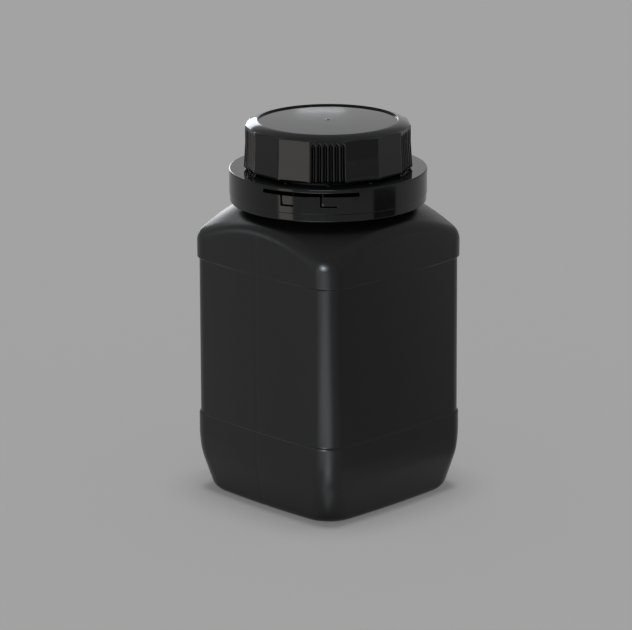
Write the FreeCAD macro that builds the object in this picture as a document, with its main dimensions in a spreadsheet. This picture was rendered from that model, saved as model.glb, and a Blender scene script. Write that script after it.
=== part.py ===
import FreeCAD, Part
import math
import os

import Sketcher

# Square wide-mouth bottle with a screw cap and a tamper-evident ring.
# Millimetres and degrees. +Z is up and the origin is the middle of the base.
# The faces look along X and Y, and the mould parts along the plane X = 0.

Vector = FreeCAD.Vector
Rotation = FreeCAD.Rotation
Placement = FreeCAD.Placement

# Driving dimensions: name, value, meaning
SIZES = (
    ("front_heading", -45.0, "direction that the cap's ribs and the ring's pawls face"),
    # Bottle walls, from the base up
    ("body_width", 78.0, "across the middle of two opposite faces"),
    ("face_lean", 3.85, "angle by which the bowed faces lean where they meet a corner"),
    ("band_corner", 8.3, "corner radius of the two bands"),
    ("wall", 1.2, "wall of the blown body"),
    ("foot_height", 22.5, "height of the tapered foot"),
    ("foot_turn_drop", 7.0, "from the top of the foot down to where the taper has set in"),
    ("foot_turn_inset", 0.45, "inset of the foot where the taper has set in"),
    ("foot_inset", 3.3, "inset of the foot at the base"),
    ("foot_corner", 12.0, "corner radius of the foot at the base"),
    ("foot_round", 5.5, "rounding between the foot and the base"),
    ("lower_band", 8.7, "height of the lower band"),
    ("step_rise", 0.7, "height over which a band steps to the panel"),
    ("panel_height", 62.4, "height of the recessed panels"),
    ("panel_low_inset", 0.6, "step from the lower band to the panel"),
    ("panel_top_inset", 0.85, "step from the upper band to the panel at the corners"),
    ("panel_top_flush", 0.1, "step from the upper band to the panel in mid-face"),
    ("panel_top_lean", 6.7, "the same angle at the panel's upper edge"),
    # Shoulder and neck
    ("shoulder_height", 21.4, "from the upper step to the foot of the collar"),
    ("shoulder_slope", 32.4, "fall of the shoulder cone"),
    ("shoulder_round", 6.5, "rounding between the shoulder and the faces"),
    ("collar_margin", 0.3, "how far the collar at the neck's foot stands out past the hub on it"),
    ("collar_height", 3.0, "height of the collar"),
    ("collar_fillet", 1.2, "fillet at the foot of the collar"),
    ("mouth_diameter", 53.0, "clear opening of the neck"),
    ("neck_wall", 1.6, "wall of the neck"),
    ("neck_height", 25.5, "from the collar to the rim"),
    ("rim_round", 0.5, "rounding of the neck's rim"),
    ("bead_height", 2.2, "height of the bead that holds the ring"),
    ("bead_land", 0.75, "height of the bead's upright edge"),
    ("bead_depth", 1.9, "how far that bead stands out"),
    ("bead_rise", 3.0, "from the collar to the bead"),
    # Base
    ("push_up", 1.6, "depth of the panel in the base"),
    ("push_up_margin", 9.0, "from the outline of the foot to that panel"),
    ("pinch_width", 2.6, "width of the pinch-off groove"),
    ("pinch_depth", 0.9, "depth of the pinch-off groove"),
    ("weld_width", 1.0, "width of the pinch-off weld"),
    ("weld_height", 0.6, "height of the pinch-off weld"),
    # Thread
    ("thread_pitch", 5.0, "rise of the thread in one turn"),
    ("thread_depth", 1.1, "depth of both threads"),
    ("thread_root", 3.0, "width of a thread at its root"),
    ("thread_crest", 1.5, "width of a thread at its crest"),
    ("thread_gap", 0.3, "radial clearance between the threads"),
    ("thread_sink", 0.25, "how far a thread is sunk into its wall"),
    ("neck_thread_low", 15.0, "from the collar's top up to the start of the neck's thread"),
    ("neck_thread_high", 3.0, "from the rim down to the end of the neck's thread"),
    ("cap_thread_low", 3.1, "from the skirt's foot up to the start of the cap's thread"),
    ("cap_thread_high", 4.25, "from the liner down to the end of the cap's thread"),
    # Screw cap and its liner
    ("cap_wall", 1.4, "wall of the skirt in the middle of a facet"),
    ("cap_foot_flare", 0.65, "how far the foot of the skirt flares out"),
    ("cap_swell_flare", 0.4, "how far the top of the swollen foot flares out"),
    ("cap_swell", 5.2, "height of the swollen foot of the skirt"),
    ("cap_swell_fade", 2.0, "height over which the swell dies out"),
    ("cap_round", 3.9, "rounding of the cap's top edge"),
    ("facet_drop", 1.7, "from the cap's top down to the facets' straight tops"),
    ("rib_drop", 2.9, "from the cap's top down to the ends of the grooves"),
    ("cap_gap", 0.8, "from the ring's ledge up to the foot of the skirt"),
    ("cap_plate", 1.55, "thickness of the cap's top plate at its edge"),
    ("cap_land", 1.0, "flat land between the rounding and the recess"),
    ("recess_depth", 0.75, "depth of the recess at its edge"),
    ("recess_dome", 0.35, "rise of the recess's floor in the middle"),
    ("gate_radius", 0.8, "radius of the moulding gate's nub"),
    ("gate_height", 0.3, "height of the moulding gate's nub"),
    ("rib_groups", 5.0, "facets that carry ribs"),
    ("facets_per_group", 3.0, "facets from one ribbed facet to the next"),
    ("rib_grooves", 6.0, "grooves in a ribbed facet"),
    ("rib_groove_radius", 0.95, "radius of a groove"),
    ("rib_groove_out", 0.3, "from the facet out to the groove's axis"),
    ("liner_thickness", 1.2, "thickness of the sealing liner"),
    ("liner_gap", 0.3, "clearance round the liner"),
    # Tamper-evident ring
    ("ring_room", 4.4, "clear width between the hub and the ring's wall"),
    ("ring_height", 12.6, "height of the ring"),
    ("ring_drop", 2.1, "how far the ring reaches below the collar's top"),
    ("ring_wall", 1.5, "wall of the ring and of its hub"),
    ("ring_web", 1.5, "thickness of the ring's top ledge"),
    ("ring_edge", 0.9, "rounding of the ring's outer edges"),
    ("ring_foot_height", 3.0, "height of the line above the ring's lower edge"),
    ("ring_foot_step", 0.25, "depth of that line"),
    ("hub_gap", 0.4, "clearance between the hub and the neck"),
    ("hub_seat", 0.2, "clearance between the hub and the collar"),
    ("slit_start", -40.0, "direction of the slit's left end"),
    ("slit_span", 58.0, "angle that the slit covers"),
    ("slit_drop", 1.35, "from the ring's top to the slit"),
    ("slit_height", 1.5, "height of the slit"),
    ("pawl_cut", 0.6, "width of the cuts that free a pawl"),
    ("pawl_drop", 4.0, "height of a pawl"),
    ("left_pawl_start", -28.0, "direction of the left pawl's free edge"),
    ("left_pawl_span", 8.0, "angle that the left pawl covers"),
    ("right_pawl_start", -4.5, "direction of the right pawl's free edge"),
    ("right_pawl_span", 9.5, "angle that the right pawl covers"),
    ("bridges", 12.0, "stubs of the tear bridges on the ring's ledge"),
    ("bridge_width", 1.0, "width of a stub"),
    ("bridge_foot", 1.8, "radial length of a stub where it joins the ledge"),
    ("bridge_sink", 0.75, "how far a stub is rooted in the ledge"),
    ("bridge_tip", 0.8, "radial length of a stub at its torn end"),
    ("bridge_gap", 0.3, "clearance between a stub and the cap"),
)

# Values worked out from them: name, expression, meaning
DERIVED = (
    ("half_width", "body_width / 2", "middle of a face from the axis"),
    ("foot_turn", "foot_height - foot_turn_drop", "level where the taper has set in"),
    ("lower_step", "foot_height + lower_band", "level of the lower step"),
    ("upper_step", "lower_step + panel_height", "level of the upper step"),
    ("shoulder_top", "upper_step + shoulder_height", "level of the collar's foot"),
    ("collar_top", "shoulder_top + collar_height", "level of the collar's top"),
    ("rim_level", "collar_top + neck_height", "level of the neck's rim"),
    ("mouth_radius", "mouth_diameter / 2", "radius of the clear opening"),
    ("neck_radius", "mouth_radius + neck_wall", "outer radius of the neck"),
    ("bead_foot_level", "collar_top + bead_rise", "level of the bead's underside"),
    ("bead_radius", "neck_radius + bead_depth", "radius of the neck's bead"),
    ("hub_bore", "bead_radius + hub_gap", "inner radius of the ring's hub"),
    ("hub_radius", "hub_bore + ring_wall", "outer radius of the ring's hub"),
    ("collar_radius", "hub_radius + collar_margin", "radius of the collar under the hub"),
    ("shoulder_room", "half_width - collar_radius - collar_fillet",
     "width of the shoulder between a face and the collar's fillet"),
    ("shoulder_edge", "min(shoulder_round; shoulder_room"
     " / (tan(45 deg - shoulder_slope * 0.5 deg) * cos(shoulder_slope * 1 deg)))",
     "rounding of the shoulder, as large as its width leaves room for"),
    ("ring_radius", "hub_radius + ring_room + ring_wall", "outer radius of the ring"),
    ("ring_foot", "collar_top - ring_drop", "level of the ring's lower edge"),
    ("ring_top", "ring_foot + ring_height", "level of the ring's ledge"),
    ("neck_crest", "neck_radius + thread_depth", "crest of the neck's thread"),
    ("cap_crest", "neck_radius + thread_gap", "crest of the cap's thread"),
    ("cap_bore", "neck_crest + thread_gap", "inner radius of the cap's skirt"),
    ("cap_foot", "ring_top + cap_gap", "level of the skirt's foot"),
    ("cap_facets", "rib_groups * facets_per_group", "facets round the skirt"),
    ("facet_radius", "cap_bore + cap_wall", "middle of a facet from the axis"),
    ("cap_radius", "facet_radius / cos(180 deg / cap_facets)", "over the facets' corners"),
    ("facet_width", "2 * cap_radius * sin(180 deg / cap_facets)", "width of a facet"),
    ("facet_top", "cap_top - facet_drop", "level of the facets' straight tops"),
    ("crown_reach", "sqrt(cap_round ^ 2 - (cap_round - facet_drop) ^ 2)",
     "how far the rounding reaches out by the facets' tops"),
    ("rib_pitch", "facet_width / rib_grooves", "spacing of the grooves in a facet"),
    ("recess_radius", "cap_radius - cap_round - cap_land", "radius of the recess in the top"),
    ("cap_ceiling", "rim_level + liner_thickness", "level of the plate's underside"),
    ("recess_floor", "cap_ceiling + cap_plate", "level of the recess's edge"),
    ("cap_top", "recess_floor + recess_depth", "level of the cap's rim"),
    ("slit_top", "ring_top - slit_drop", "upper edge of the slit"),
    ("slit_foot", "slit_top - slit_height", "lower edge of the slit"),
    ("pawl_foot", "slit_foot - pawl_drop", "lower edge of the pawls"),
    ("neck_thread_level", "collar_top + neck_thread_low", "level of its thread's start"),
    ("neck_thread_turns", "(neck_height - neck_thread_low - neck_thread_high) / thread_pitch",
     "turns of the neck's thread"),
    ("cap_thread_level", "cap_foot + cap_thread_low", "level of the cap's thread's start"),
    ("cap_thread_turns", "(rim_level - cap_thread_high - cap_thread_level) / thread_pitch",
     "turns of the cap's thread"),
    ("cap_thread_start", "180 + 360 * (cap_thread_level - neck_thread_level) / thread_pitch",
     "direction of its start, midway between two turns of the neck's thread"),
)

OVERCUT = 1.0       # how far a cutting profile runs past what it cuts
OVERLAP = 1.0       # how far a profile reaches into the solid that it joins
TOLERANCE = 0.01    # how closely a level is met
SLACK = 0.2         # how far an edge has to lie from a neighbour to be told from it
XY, XZ = "XY_Plane", "XZ_Plane"
HORIZONTAL_AXIS, VERTICAL_AXIS = -1, -2
ORIGIN_POINT = (-1, 1)

doc = FreeCAD.newDocument("square_bottle")


# Sheet

def fill_sheet():
    """Put every driving dimension and every derived one on a sheet, each with an alias."""
    table = doc.addObject("Spreadsheet::Sheet", "sizes")
    rows = [(name, "%g" % value, note) for name, value, note in SIZES]
    rows += [(name, "=" + expression, note) for name, expression, note in DERIVED]
    for row, (name, content, note) in enumerate(rows, 1):
        table.set("A%d" % row, note)
        table.set("B%d" % row, content)
        table.setAlias("B%d" % row, name)
    doc.recompute()
    return table


sheet = fill_sheet()
NAMES = {row[0] for row in SIZES + DERIVED}


def formula(text):
    """Rewrite a formula in plain size names as an expression that reads the sheet."""
    words = []
    word = ""
    for letter in text + " ":
        if letter.isalnum() or letter == "_":
            word += letter
            continue
        words.append("sizes." + word if word in NAMES else word)
        words.append(letter)
        word = ""
    return "".join(words).strip()


def size(text):
    """The number that a formula gives now."""
    found = sheet.evalExpression(formula(text))
    return float(getattr(found, "Value", found))


def bind(thing, path, text):
    """Tie a property to a formula in the sizes."""
    thing.setExpression(path, formula(text))


# Sketches

def new_body(name, base=None):
    """A body, which may start from a solid made outside it."""
    body = doc.addObject("PartDesign::Body", name)
    body.Label = name
    if base is not None:
        body.BaseFeature = base
    return body


def new_sketch(body, name, role, level=None, turn=None):
    """A sketch on one of the body's origin planes, raised to a level or turned about Z."""
    sketch = body.newObject("Sketcher::SketchObject", name)
    plane = [item for item in body.Origin.OriginFeatures if item.Role == role][0]
    sketch.AttachmentSupport = [(plane, "")]
    sketch.MapMode = "FlatFace"
    if level is not None:
        bind(sketch, "AttachmentOffset.Base.z", level)
    if turn is not None:
        sketch.AttachmentOffset = Placement(Vector(), Rotation(Vector(0, 1, 0), size(turn)))
        bind(sketch, "AttachmentOffset.Rotation.Angle", "(%s) * 1 deg" % turn)
    return sketch


def datum(sketch, kind, targets, text, name):
    """Add a dimension to the sketch and tie it to a formula."""
    sketch.addConstraint(Sketcher.Constraint(kind, *targets, size(text)))
    index = sketch.ConstraintCount - 1
    sketch.renameConstraint(index, name)
    bind(sketch, "Constraints." + name, text)


def place_point(sketch, edge, point, x, y, name):
    """Fix a point of the sketch at formulas of its two coordinates."""
    if x == "0":
        sketch.addConstraint(Sketcher.Constraint("PointOnObject", edge, point, VERTICAL_AXIS))
    else:
        datum(sketch, "DistanceX", (*ORIGIN_POINT, edge, point), x, name + "_x")
    if y == "0":
        sketch.addConstraint(Sketcher.Constraint("PointOnObject", edge, point, HORIZONTAL_AXIS))
    else:
        datum(sketch, "DistanceY", (*ORIGIN_POINT, edge, point), y, name + "_y")


def draw_outline(sketch, corners):
    """A closed outline through named corners: name, x and y, and where an arc leads on
    to the next corner, its radius and +1 or -1 for the side on which its middle lies."""
    spots = [Vector(size(corner[1]), size(corner[2]), 0) for corner in corners]
    for index, corner in enumerate(corners):
        start = spots[index]
        end = spots[(index + 1) % len(spots)]
        if len(corner) == 3:
            sketch.addGeometry(Part.LineSegment(start, end), False)
            continue
        radius = size(corner[3])
        chord = end - start
        across = Vector(-chord.y, chord.x, 0).normalize() * corner[4]
        rise = math.sqrt(radius ** 2 - (chord.Length / 2) ** 2)
        middle = (start + end) / 2 + across * rise
        peak = middle - across * radius
        sketch.addGeometry(Part.Arc(start, peak, end), False)
    for index, corner in enumerate(corners):
        point = end_point(sketch, index, spots[index])
        before = (index - 1) % len(corners)
        joint = end_point(sketch, before, spots[index])
        sketch.addConstraint(Sketcher.Constraint("Coincident", before, joint, index, point))
        place_point(sketch, index, point, corner[1], corner[2], corner[0])
        if len(corner) > 3:
            datum(sketch, "Radius", (index,), corner[3], corner[0] + "_radius")


def end_point(sketch, edge, spot):
    """Which end of an edge of the sketch lies at a spot: 1 for its start, 2 for its end."""
    at_start = sketch.getPoint(edge, 1).distanceToPoint(spot)
    at_end = sketch.getPoint(edge, 2).distanceToPoint(spot)
    return 1 if at_start < at_end else 2


def draw_bowed_square(sketch, half, lean_angle, corner):
    """A square with rounded corners and slightly bowed faces, one tangent outline."""
    sine = "sin(%s * 1 deg)" % lean_angle
    cosine = "cos(%s * 1 deg)" % lean_angle
    bow = "(%s - (%s) * (%s - %s)) / (1 + %s - %s)" % (
        half, corner, cosine, sine, sine, cosine)
    half_now, bow_now, corner_now = size(half), size(bow), size(corner)
    arm = half_now - bow_now
    swell = bow_now - corner_now
    middle = (arm + math.sqrt(2 * swell ** 2 - arm ** 2)) / 2
    lean = math.degrees(math.atan2(middle, middle - arm))
    for quarter in range(4):
        turn = 90.0 * quarter
        face_middle = Rotation(Vector(0, 0, 1), turn).multVec(Vector(arm, 0, 0))
        sketch.addGeometry(arc(face_middle, bow_now, turn - lean, turn + lean), False)
        corner_middle = Rotation(Vector(0, 0, 1), turn).multVec(Vector(middle, middle, 0))
        sketch.addGeometry(arc(corner_middle, corner_now, turn + lean, turn + 90 - lean), False)
    for index in range(8):
        following = (index + 1) % 8
        sketch.addConstraint(Sketcher.Constraint("Tangent", index, 2, following, 1))
    for quarter in range(4):
        axis = HORIZONTAL_AXIS if quarter % 2 == 0 else VERTICAL_AXIS
        sketch.addConstraint(Sketcher.Constraint("PointOnObject", 2 * quarter, 3, axis))
        if quarter:
            sketch.addConstraint(Sketcher.Constraint("Equal", 0, 2 * quarter))
            sketch.addConstraint(Sketcher.Constraint("Equal", 1, 2 * quarter + 1))
    datum(sketch, "Radius", (0,), bow, "bow")
    datum(sketch, "Radius", (1,), corner, "corner")
    depth = "%s - (%s)" % (bow, half)
    datum(sketch, "DistanceX", (0, 3, *ORIGIN_POINT), depth, "face_right")
    datum(sketch, "DistanceY", (2, 3, *ORIGIN_POINT), depth, "face_back")
    datum(sketch, "DistanceX", (*ORIGIN_POINT, 4, 3), depth, "face_left")
    datum(sketch, "DistanceY", (*ORIGIN_POINT, 6, 3), depth, "face_front")


def arc(middle, radius, start, end):
    """An arc between two directions in degrees."""
    circle = Part.Circle(middle, Vector(0, 0, 1), radius)
    return Part.ArcOfCircle(circle, math.radians(start), math.radians(end))


def draw_circle(sketch, x, y, radius, name):
    """A circle about a point given by formulas of its two coordinates."""
    middle = Vector(size(x), size(y), 0)
    edge = sketch.addGeometry(Part.Circle(middle, Vector(0, 0, 1), size(radius)), False)
    place_point(sketch, edge, 3, x, y, name)
    datum(sketch, "Radius", (edge,), radius, name + "_radius")


def draw_polygon(sketch, count, radius):
    """A regular polygon on a circle, with the middle of one side on the X axis."""
    step = 360.0 / count
    spots = []
    for index in range(count):
        angle = math.radians(step * (index - 0.5))
        spots.append(Vector(math.cos(angle), math.sin(angle), 0) * size(radius))
    for index, spot in enumerate(spots):
        sketch.addGeometry(Part.LineSegment(spot, spots[(index + 1) % count]), False)
    ring = sketch.addGeometry(Part.Circle(Vector(), Vector(0, 0, 1), size(radius)), True)
    sketch.addConstraint(Sketcher.Constraint("Coincident", ring, 3, *ORIGIN_POINT))
    for index in range(count):
        following = (index + 1) % count
        sketch.addConstraint(Sketcher.Constraint("Coincident", index, 2, following, 1))
        sketch.addConstraint(Sketcher.Constraint("PointOnObject", index, 1, ring))
        if index:
            sketch.addConstraint(Sketcher.Constraint("Equal", 0, index))
    sketch.addConstraint(Sketcher.Constraint("Vertical", 0))
    datum(sketch, "Radius", (ring,), radius, "over_corners")


# Features

def spin(body, name, sketch, cut=False, angle=None):
    """Turn a profile about Z, to add to the body or to cut it."""
    kind = "PartDesign::Groove" if cut else "PartDesign::Revolution"
    feature = body.newObject(kind, name)
    feature.Profile = sketch
    feature.ReferenceAxis = (sketch, ["V_Axis"])
    feature.Angle = 360.0
    if angle is not None:
        bind(feature, "Angle", "(%s) * 1 deg" % angle)
    body.Tip = feature
    return feature


def loft(body, name, sections):
    """A loft with straight rules through sections from the lowest up."""
    feature = body.newObject("PartDesign::AdditiveLoft", name)
    feature.Profile = sections[0]
    feature.Sections = sections[1:]
    feature.Ruled = True
    feature.Closed = False
    body.Tip = feature
    return feature


def extrude(body, name, sketch, length, cut=False, reverse=False):
    """Push a profile out along its normal, to add to the body or to cut it."""
    kind = "PartDesign::Pocket" if cut else "PartDesign::Pad"
    feature = body.newObject(kind, name)
    feature.Profile = sketch
    feature.Type = 0
    bind(feature, "Length", length)
    feature.Reversed = reverse
    body.Tip = feature
    return feature


def round_edges(body, name, base, wanted, radius):
    """Fillet the edges of a feature that a test picks."""
    doc.recompute()
    edges = ["Edge%d" % number
             for number, edge in enumerate(base.Shape.Edges, 1) if wanted(edge)]
    feature = body.newObject("PartDesign::Fillet", name)
    feature.Base = (base, edges)
    bind(feature, "Radius", radius)
    body.Tip = feature
    return feature


def around(body, name, original, count):
    """Repeat a feature round the Z axis."""
    feature = body.newObject("PartDesign::PolarPattern", name)
    feature.Originals = [original]
    axis = [item for item in body.Origin.OriginFeatures if item.Role == "Z_Axis"][0]
    feature.Axis = (axis, [""])
    feature.Angle = 360.0
    bind(feature, "Occurrences", count)
    body.Tip = feature
    return feature


def at_level(edge, level):
    """True for an edge that lies flat at a level."""
    box = edge.BoundBox
    return abs(box.ZMin - level) < TOLERANCE and abs(box.ZMax - level) < TOLERANCE


def reach(edge):
    """How far the furthest of an edge's two ends and middle lies from the Z axis."""
    first, last = edge.ParameterRange
    spots = [edge.valueAt(first), edge.valueAt((first + last) / 2), edge.valueAt(last)]
    return max(math.hypot(spot.x, spot.y) for spot in spots)


# Bottle

def wall_section(name, level, half, lean, corner):
    """One level of the walls: a rounded square with bowed faces."""
    sketch = doc.addObject("Sketcher::SketchObject", name)
    bind(sketch, "Placement.Base.z", level)
    draw_bowed_square(sketch, half, lean, corner)
    return sketch


def wall_loft(name, sections):
    """Straight walls from each section to the next."""
    feature = doc.addObject("Part::Loft", name)
    feature.Sections = sections
    feature.Solid = True
    feature.Ruled = True
    return feature


def shoulder_cut(body, name, collar, top, ceiling):
    """Take away what lies above the shoulder cone and outside the collar."""
    fall = "(body_width - %s) * tan(shoulder_slope * 1 deg)" % collar
    sketch = new_sketch(body, name + "_profile", XZ)
    draw_outline(sketch, [
        ("foot", collar, top),
        ("edge", "body_width", "%s - %s" % (top, fall)),
        ("outer", "body_width", ceiling),
        ("inner", collar, ceiling),
    ])
    return spin(body, name, sketch, cut=True)


def on_shoulder_edge(edge):
    """True for the edges where the shoulder cone meets the faces and the corners."""
    box = edge.BoundBox
    between = box.ZMin > size("upper_step") + SLACK and box.ZMax < size("shoulder_top") - SLACK
    return between and reach(edge) > size("collar_radius") + SLACK


def at_collar_foot(edge):
    """True for the circle where the collar stands on the shoulder cone."""
    return at_level(edge, size("shoulder_top")) and reach(edge) < size("collar_radius") + SLACK


def bottle_form():
    """The outside of the blown bottle, as one solid."""
    sections = [
        wall_section("foot_base", "0", "half_width - foot_inset", "face_lean", "foot_corner"),
        wall_section("foot_turned", "foot_turn", "half_width - foot_turn_inset",
                     "face_lean", "band_corner"),
        wall_section("band_base", "foot_height", "half_width", "face_lean", "band_corner"),
        wall_section("band_edge", "lower_step", "half_width", "face_lean", "band_corner"),
        wall_section("panel_base", "lower_step + step_rise",
                     "half_width - panel_low_inset", "face_lean",
                     "band_corner - panel_low_inset"),
        wall_section("panel_edge", "upper_step - step_rise",
                     "half_width - panel_top_flush", "panel_top_lean",
                     "band_corner - panel_top_inset"),
        wall_section("upper_band_base", "upper_step", "half_width", "face_lean",
                     "band_corner"),
        wall_section("upper_band_edge", "collar_top", "half_width", "face_lean",
                     "band_corner"),
    ]
    body = new_body("bottle_form", wall_loft("walls", sections))
    doc.recompute()
    walls = body.Tip
    round_edges(body, "foot_rounding", walls, lambda edge: at_level(edge, 0), "foot_round")
    ceiling = "collar_top + %g" % OVERCUT
    cone = shoulder_cut(body, "shoulder", "collar_radius", "shoulder_top", ceiling)
    shoulder = round_edges(body, "shoulder_rounding", cone, on_shoulder_edge, "shoulder_edge")
    round_edges(body, "collar_foot", shoulder, at_collar_foot, "collar_fillet")
    neck_profile(body)
    base_details(body)
    return body


def neck_profile(body):
    """The neck above the collar, with the bead that holds the ring."""
    foot = "collar_top - %g" % OVERLAP
    neck = new_sketch(body, "neck_section", XZ)
    draw_outline(neck, [
        ("axis_foot", "0", foot),
        ("foot", "neck_radius", foot),
        ("bead_foot", "neck_radius", "bead_foot_level"),
        ("bead_edge", "bead_radius", "bead_foot_level"),
        ("bead_top", "bead_radius", "bead_foot_level + bead_land"),
        ("bead_end", "neck_radius", "bead_foot_level + bead_height"),
        ("rim_side", "neck_radius", "rim_level - rim_round", "rim_round", 1),
        ("rim_outer", "neck_radius - rim_round", "rim_level"),
        ("rim_axis", "0", "rim_level"),
    ])
    spin(body, "neck", neck)


def base_details(body):
    """The panel pushed up in the base, with the pinch-off groove and its weld."""
    half = "half_width - foot_inset - push_up_margin"
    panel = new_sketch(body, "push_up_outline", XY)
    draw_bowed_square(panel, half, "face_lean", "foot_corner - foot_inset")
    extrude(body, "push_up_panel", panel, "push_up", cut=True, reverse=True)
    groove = new_sketch(body, "pinch_outline", XY)
    draw_rectangle(groove, "pinch_width / 2", "half_width")
    extrude(body, "pinch_groove", groove, "pinch_depth", cut=True, reverse=True)
    weld = new_sketch(body, "weld_outline", XY, level="push_up")
    draw_rectangle(weld, "weld_width / 2", half)
    extrude(body, "pinch_weld", weld, "weld_height", reverse=True)


def draw_rectangle(sketch, half_x, half_y):
    """A rectangle about the origin."""
    draw_outline(sketch, [
        ("front_left", "-(%s)" % half_x, "-(%s)" % half_y),
        ("front_right", half_x, "-(%s)" % half_y),
        ("back_right", half_x, half_y),
        ("back_left", "-(%s)" % half_x, half_y),
    ])


def bottle_cavity():
    """The inside of the bottle, a wall's thickness within its outside."""
    floor = "wall + push_up"
    inside = "half_width - panel_top_inset - wall"
    corner = "band_corner - panel_top_inset - wall"
    sections = [
        wall_section("floor_section", floor, "half_width - foot_inset - wall", "face_lean",
                     "foot_corner - wall"),
        wall_section("foot_section", "foot_height", inside, "face_lean", corner),
        wall_section("top_section", "collar_top", inside, "face_lean", corner),
    ]
    body = new_body("bottle_cavity", wall_loft("inner_walls", sections))
    doc.recompute()
    walls = body.Tip
    level = size(floor)
    round_edges(body, "inner_foot", walls, lambda edge: at_level(edge, level),
                "foot_round - wall")
    cone = shoulder_cut(body, "inner_shoulder", "mouth_radius",
                        "shoulder_top + (collar_radius - mouth_radius - wall)"
                        " * tan(shoulder_slope * 1 deg) - wall",
                        "collar_top + %g" % OVERCUT)
    round_edges(body, "inner_shoulder_rounding", cone, on_shoulder_edge,
                "shoulder_edge - wall")
    bore = new_sketch(body, "bore_profile", XZ)
    draw_outline(bore, [
        ("axis_foot", "0", "collar_top - %g" % OVERLAP),
        ("foot", "mouth_radius", "collar_top - %g" % OVERLAP),
        ("top", "mouth_radius", "rim_level + %g" % OVERCUT),
        ("axis_top", "0", "rim_level + %g" % OVERCUT),
    ])
    spin(body, "bore", bore)
    return body


def thread(name, root, crest, turns, level, start):
    """A helical ridge from its root radius to its crest radius."""
    helix = doc.addObject("Part::Helix", name + "_path")
    bind(helix, "Pitch", "thread_pitch")
    bind(helix, "Height", "thread_pitch * %s" % turns)
    bind(helix, "Radius", root)
    profile = doc.addObject("Sketcher::SketchObject", name + "_profile")
    profile.Placement = Placement(Vector(), Rotation(Vector(1, 0, 0), 90))
    draw_outline(profile, [
        ("root_low", root, "-thread_root / 2"),
        ("crest_low", crest, "-thread_crest / 2"),
        ("crest_high", crest, "thread_crest / 2"),
        ("root_high", root, "thread_root / 2"),
    ])
    ridge = doc.addObject("Part::Sweep", name)
    ridge.Sections = [profile]
    ridge.Spine = (helix, [])
    ridge.Solid = True
    ridge.Frenet = True
    ridge.Placement = Placement(Vector(), Rotation(Vector(0, 0, 1), size(start)))
    bind(ridge, "Placement.Base.z", level)
    bind(ridge, "Placement.Rotation.Angle", "(%s) * 1 deg" % start)
    return ridge


def combine(kind, name, base, tool):
    """Cut or fuse two solids."""
    result = doc.addObject(kind, name)
    result.Base = base
    result.Tool = tool
    result.Refine = False
    result.Label = name
    return result


def make_bottle():
    """The blown bottle with its inside and the thread on its neck."""
    hollow = combine("Part::Cut", "bottle_hollow", bottle_form(), bottle_cavity())
    ridge = thread("neck_thread", "neck_radius - thread_sink", "neck_crest",
                   "neck_thread_turns", "neck_thread_level", "0")
    return combine("Part::Fuse", "bottle", hollow, ridge)


# Screw cap

def cap_section(body, name, level, radius):
    """One level of the skirt: a polygon of facets."""
    sketch = new_sketch(body, name, XY, level=level)
    draw_polygon(sketch, int(size("cap_facets")), radius)
    return sketch


def cap_form():
    """The moulded cap without its thread: facets, domed edge, recess, ribs and bore."""
    body = new_body("cap_form")
    loft(body, "skirt", [
        cap_section(body, "skirt_foot", "cap_foot", "cap_radius + cap_foot_flare"),
        cap_section(body, "skirt_swell", "cap_foot + cap_swell", "cap_radius + cap_swell_flare"),
        cap_section(body, "skirt_waist", "cap_foot + cap_swell + cap_swell_fade", "cap_radius"),
        cap_section(body, "skirt_top", "cap_top", "cap_radius"),
    ])
    edge = new_sketch(body, "cap_edge_profile", XZ)
    draw_outline(edge, [
        ("land", "cap_radius - cap_round", "cap_top", "cap_round", -1),
        ("side", "cap_radius - cap_round + crown_reach", "facet_top"),
        ("outer", "cap_radius + %g" % OVERCUT, "facet_top"),
        ("outer_top", "cap_radius + %g" % OVERCUT, "cap_top + %g" % OVERCUT),
        ("inner_top", "cap_radius - cap_round", "cap_top + %g" % OVERCUT),
    ])
    spin(body, "cap_edge", edge, cut=True)
    recess = new_sketch(body, "recess_profile", XZ)
    draw_outline(recess, [
        ("gate_top", "0", "recess_floor + recess_dome + gate_height"),
        ("gate_edge", "gate_radius / 2", "recess_floor + recess_dome + gate_height"),
        ("gate_foot", "gate_radius", "recess_floor + recess_dome",
         "(recess_radius - gate_radius) ^ 2 / (2 * recess_dome) + recess_dome / 2", -1),
        ("floor_edge", "recess_radius", "recess_floor"),
        ("lip", "recess_radius", "cap_top + %g" % OVERCUT),
        ("axis", "0", "cap_top + %g" % OVERCUT),
    ])
    spin(body, "recess", recess, cut=True)
    grooves = new_sketch(body, "rib_grooves_outline", XY, level="cap_foot")
    count = int(size("rib_grooves"))
    for index in range(count):
        side = "rib_pitch * %g" % (index - (count - 1) / 2)
        draw_circle(grooves, "facet_radius + rib_groove_out", side, "rib_groove_radius",
                    "groove_%d" % index)
    ribs = extrude(body, "ribs", grooves, "cap_top - rib_drop - cap_foot", cut=True,
                   reverse=True)
    around(body, "rib_sets", ribs, "rib_groups")
    bore = new_sketch(body, "cap_bore_outline", XY, level="cap_foot")
    draw_circle(bore, "0", "0", "cap_bore", "bore")
    extrude(body, "cap_hollow", bore, "cap_ceiling - cap_foot", cut=True, reverse=True)
    body.Placement = Placement(Vector(), Rotation(Vector(0, 0, 1), size("front_heading")))
    bind(body, "Placement.Rotation.Angle", "(front_heading) * 1 deg")
    return body


def make_cap():
    """The cap with its thread, which lies midway between the turns of the neck's."""
    ridge = thread("cap_thread", "cap_bore + thread_sink", "cap_crest",
                   "cap_thread_turns", "cap_thread_level", "cap_thread_start")
    return combine("Part::Fuse", "screw_cap", cap_form(), ridge)


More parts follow.
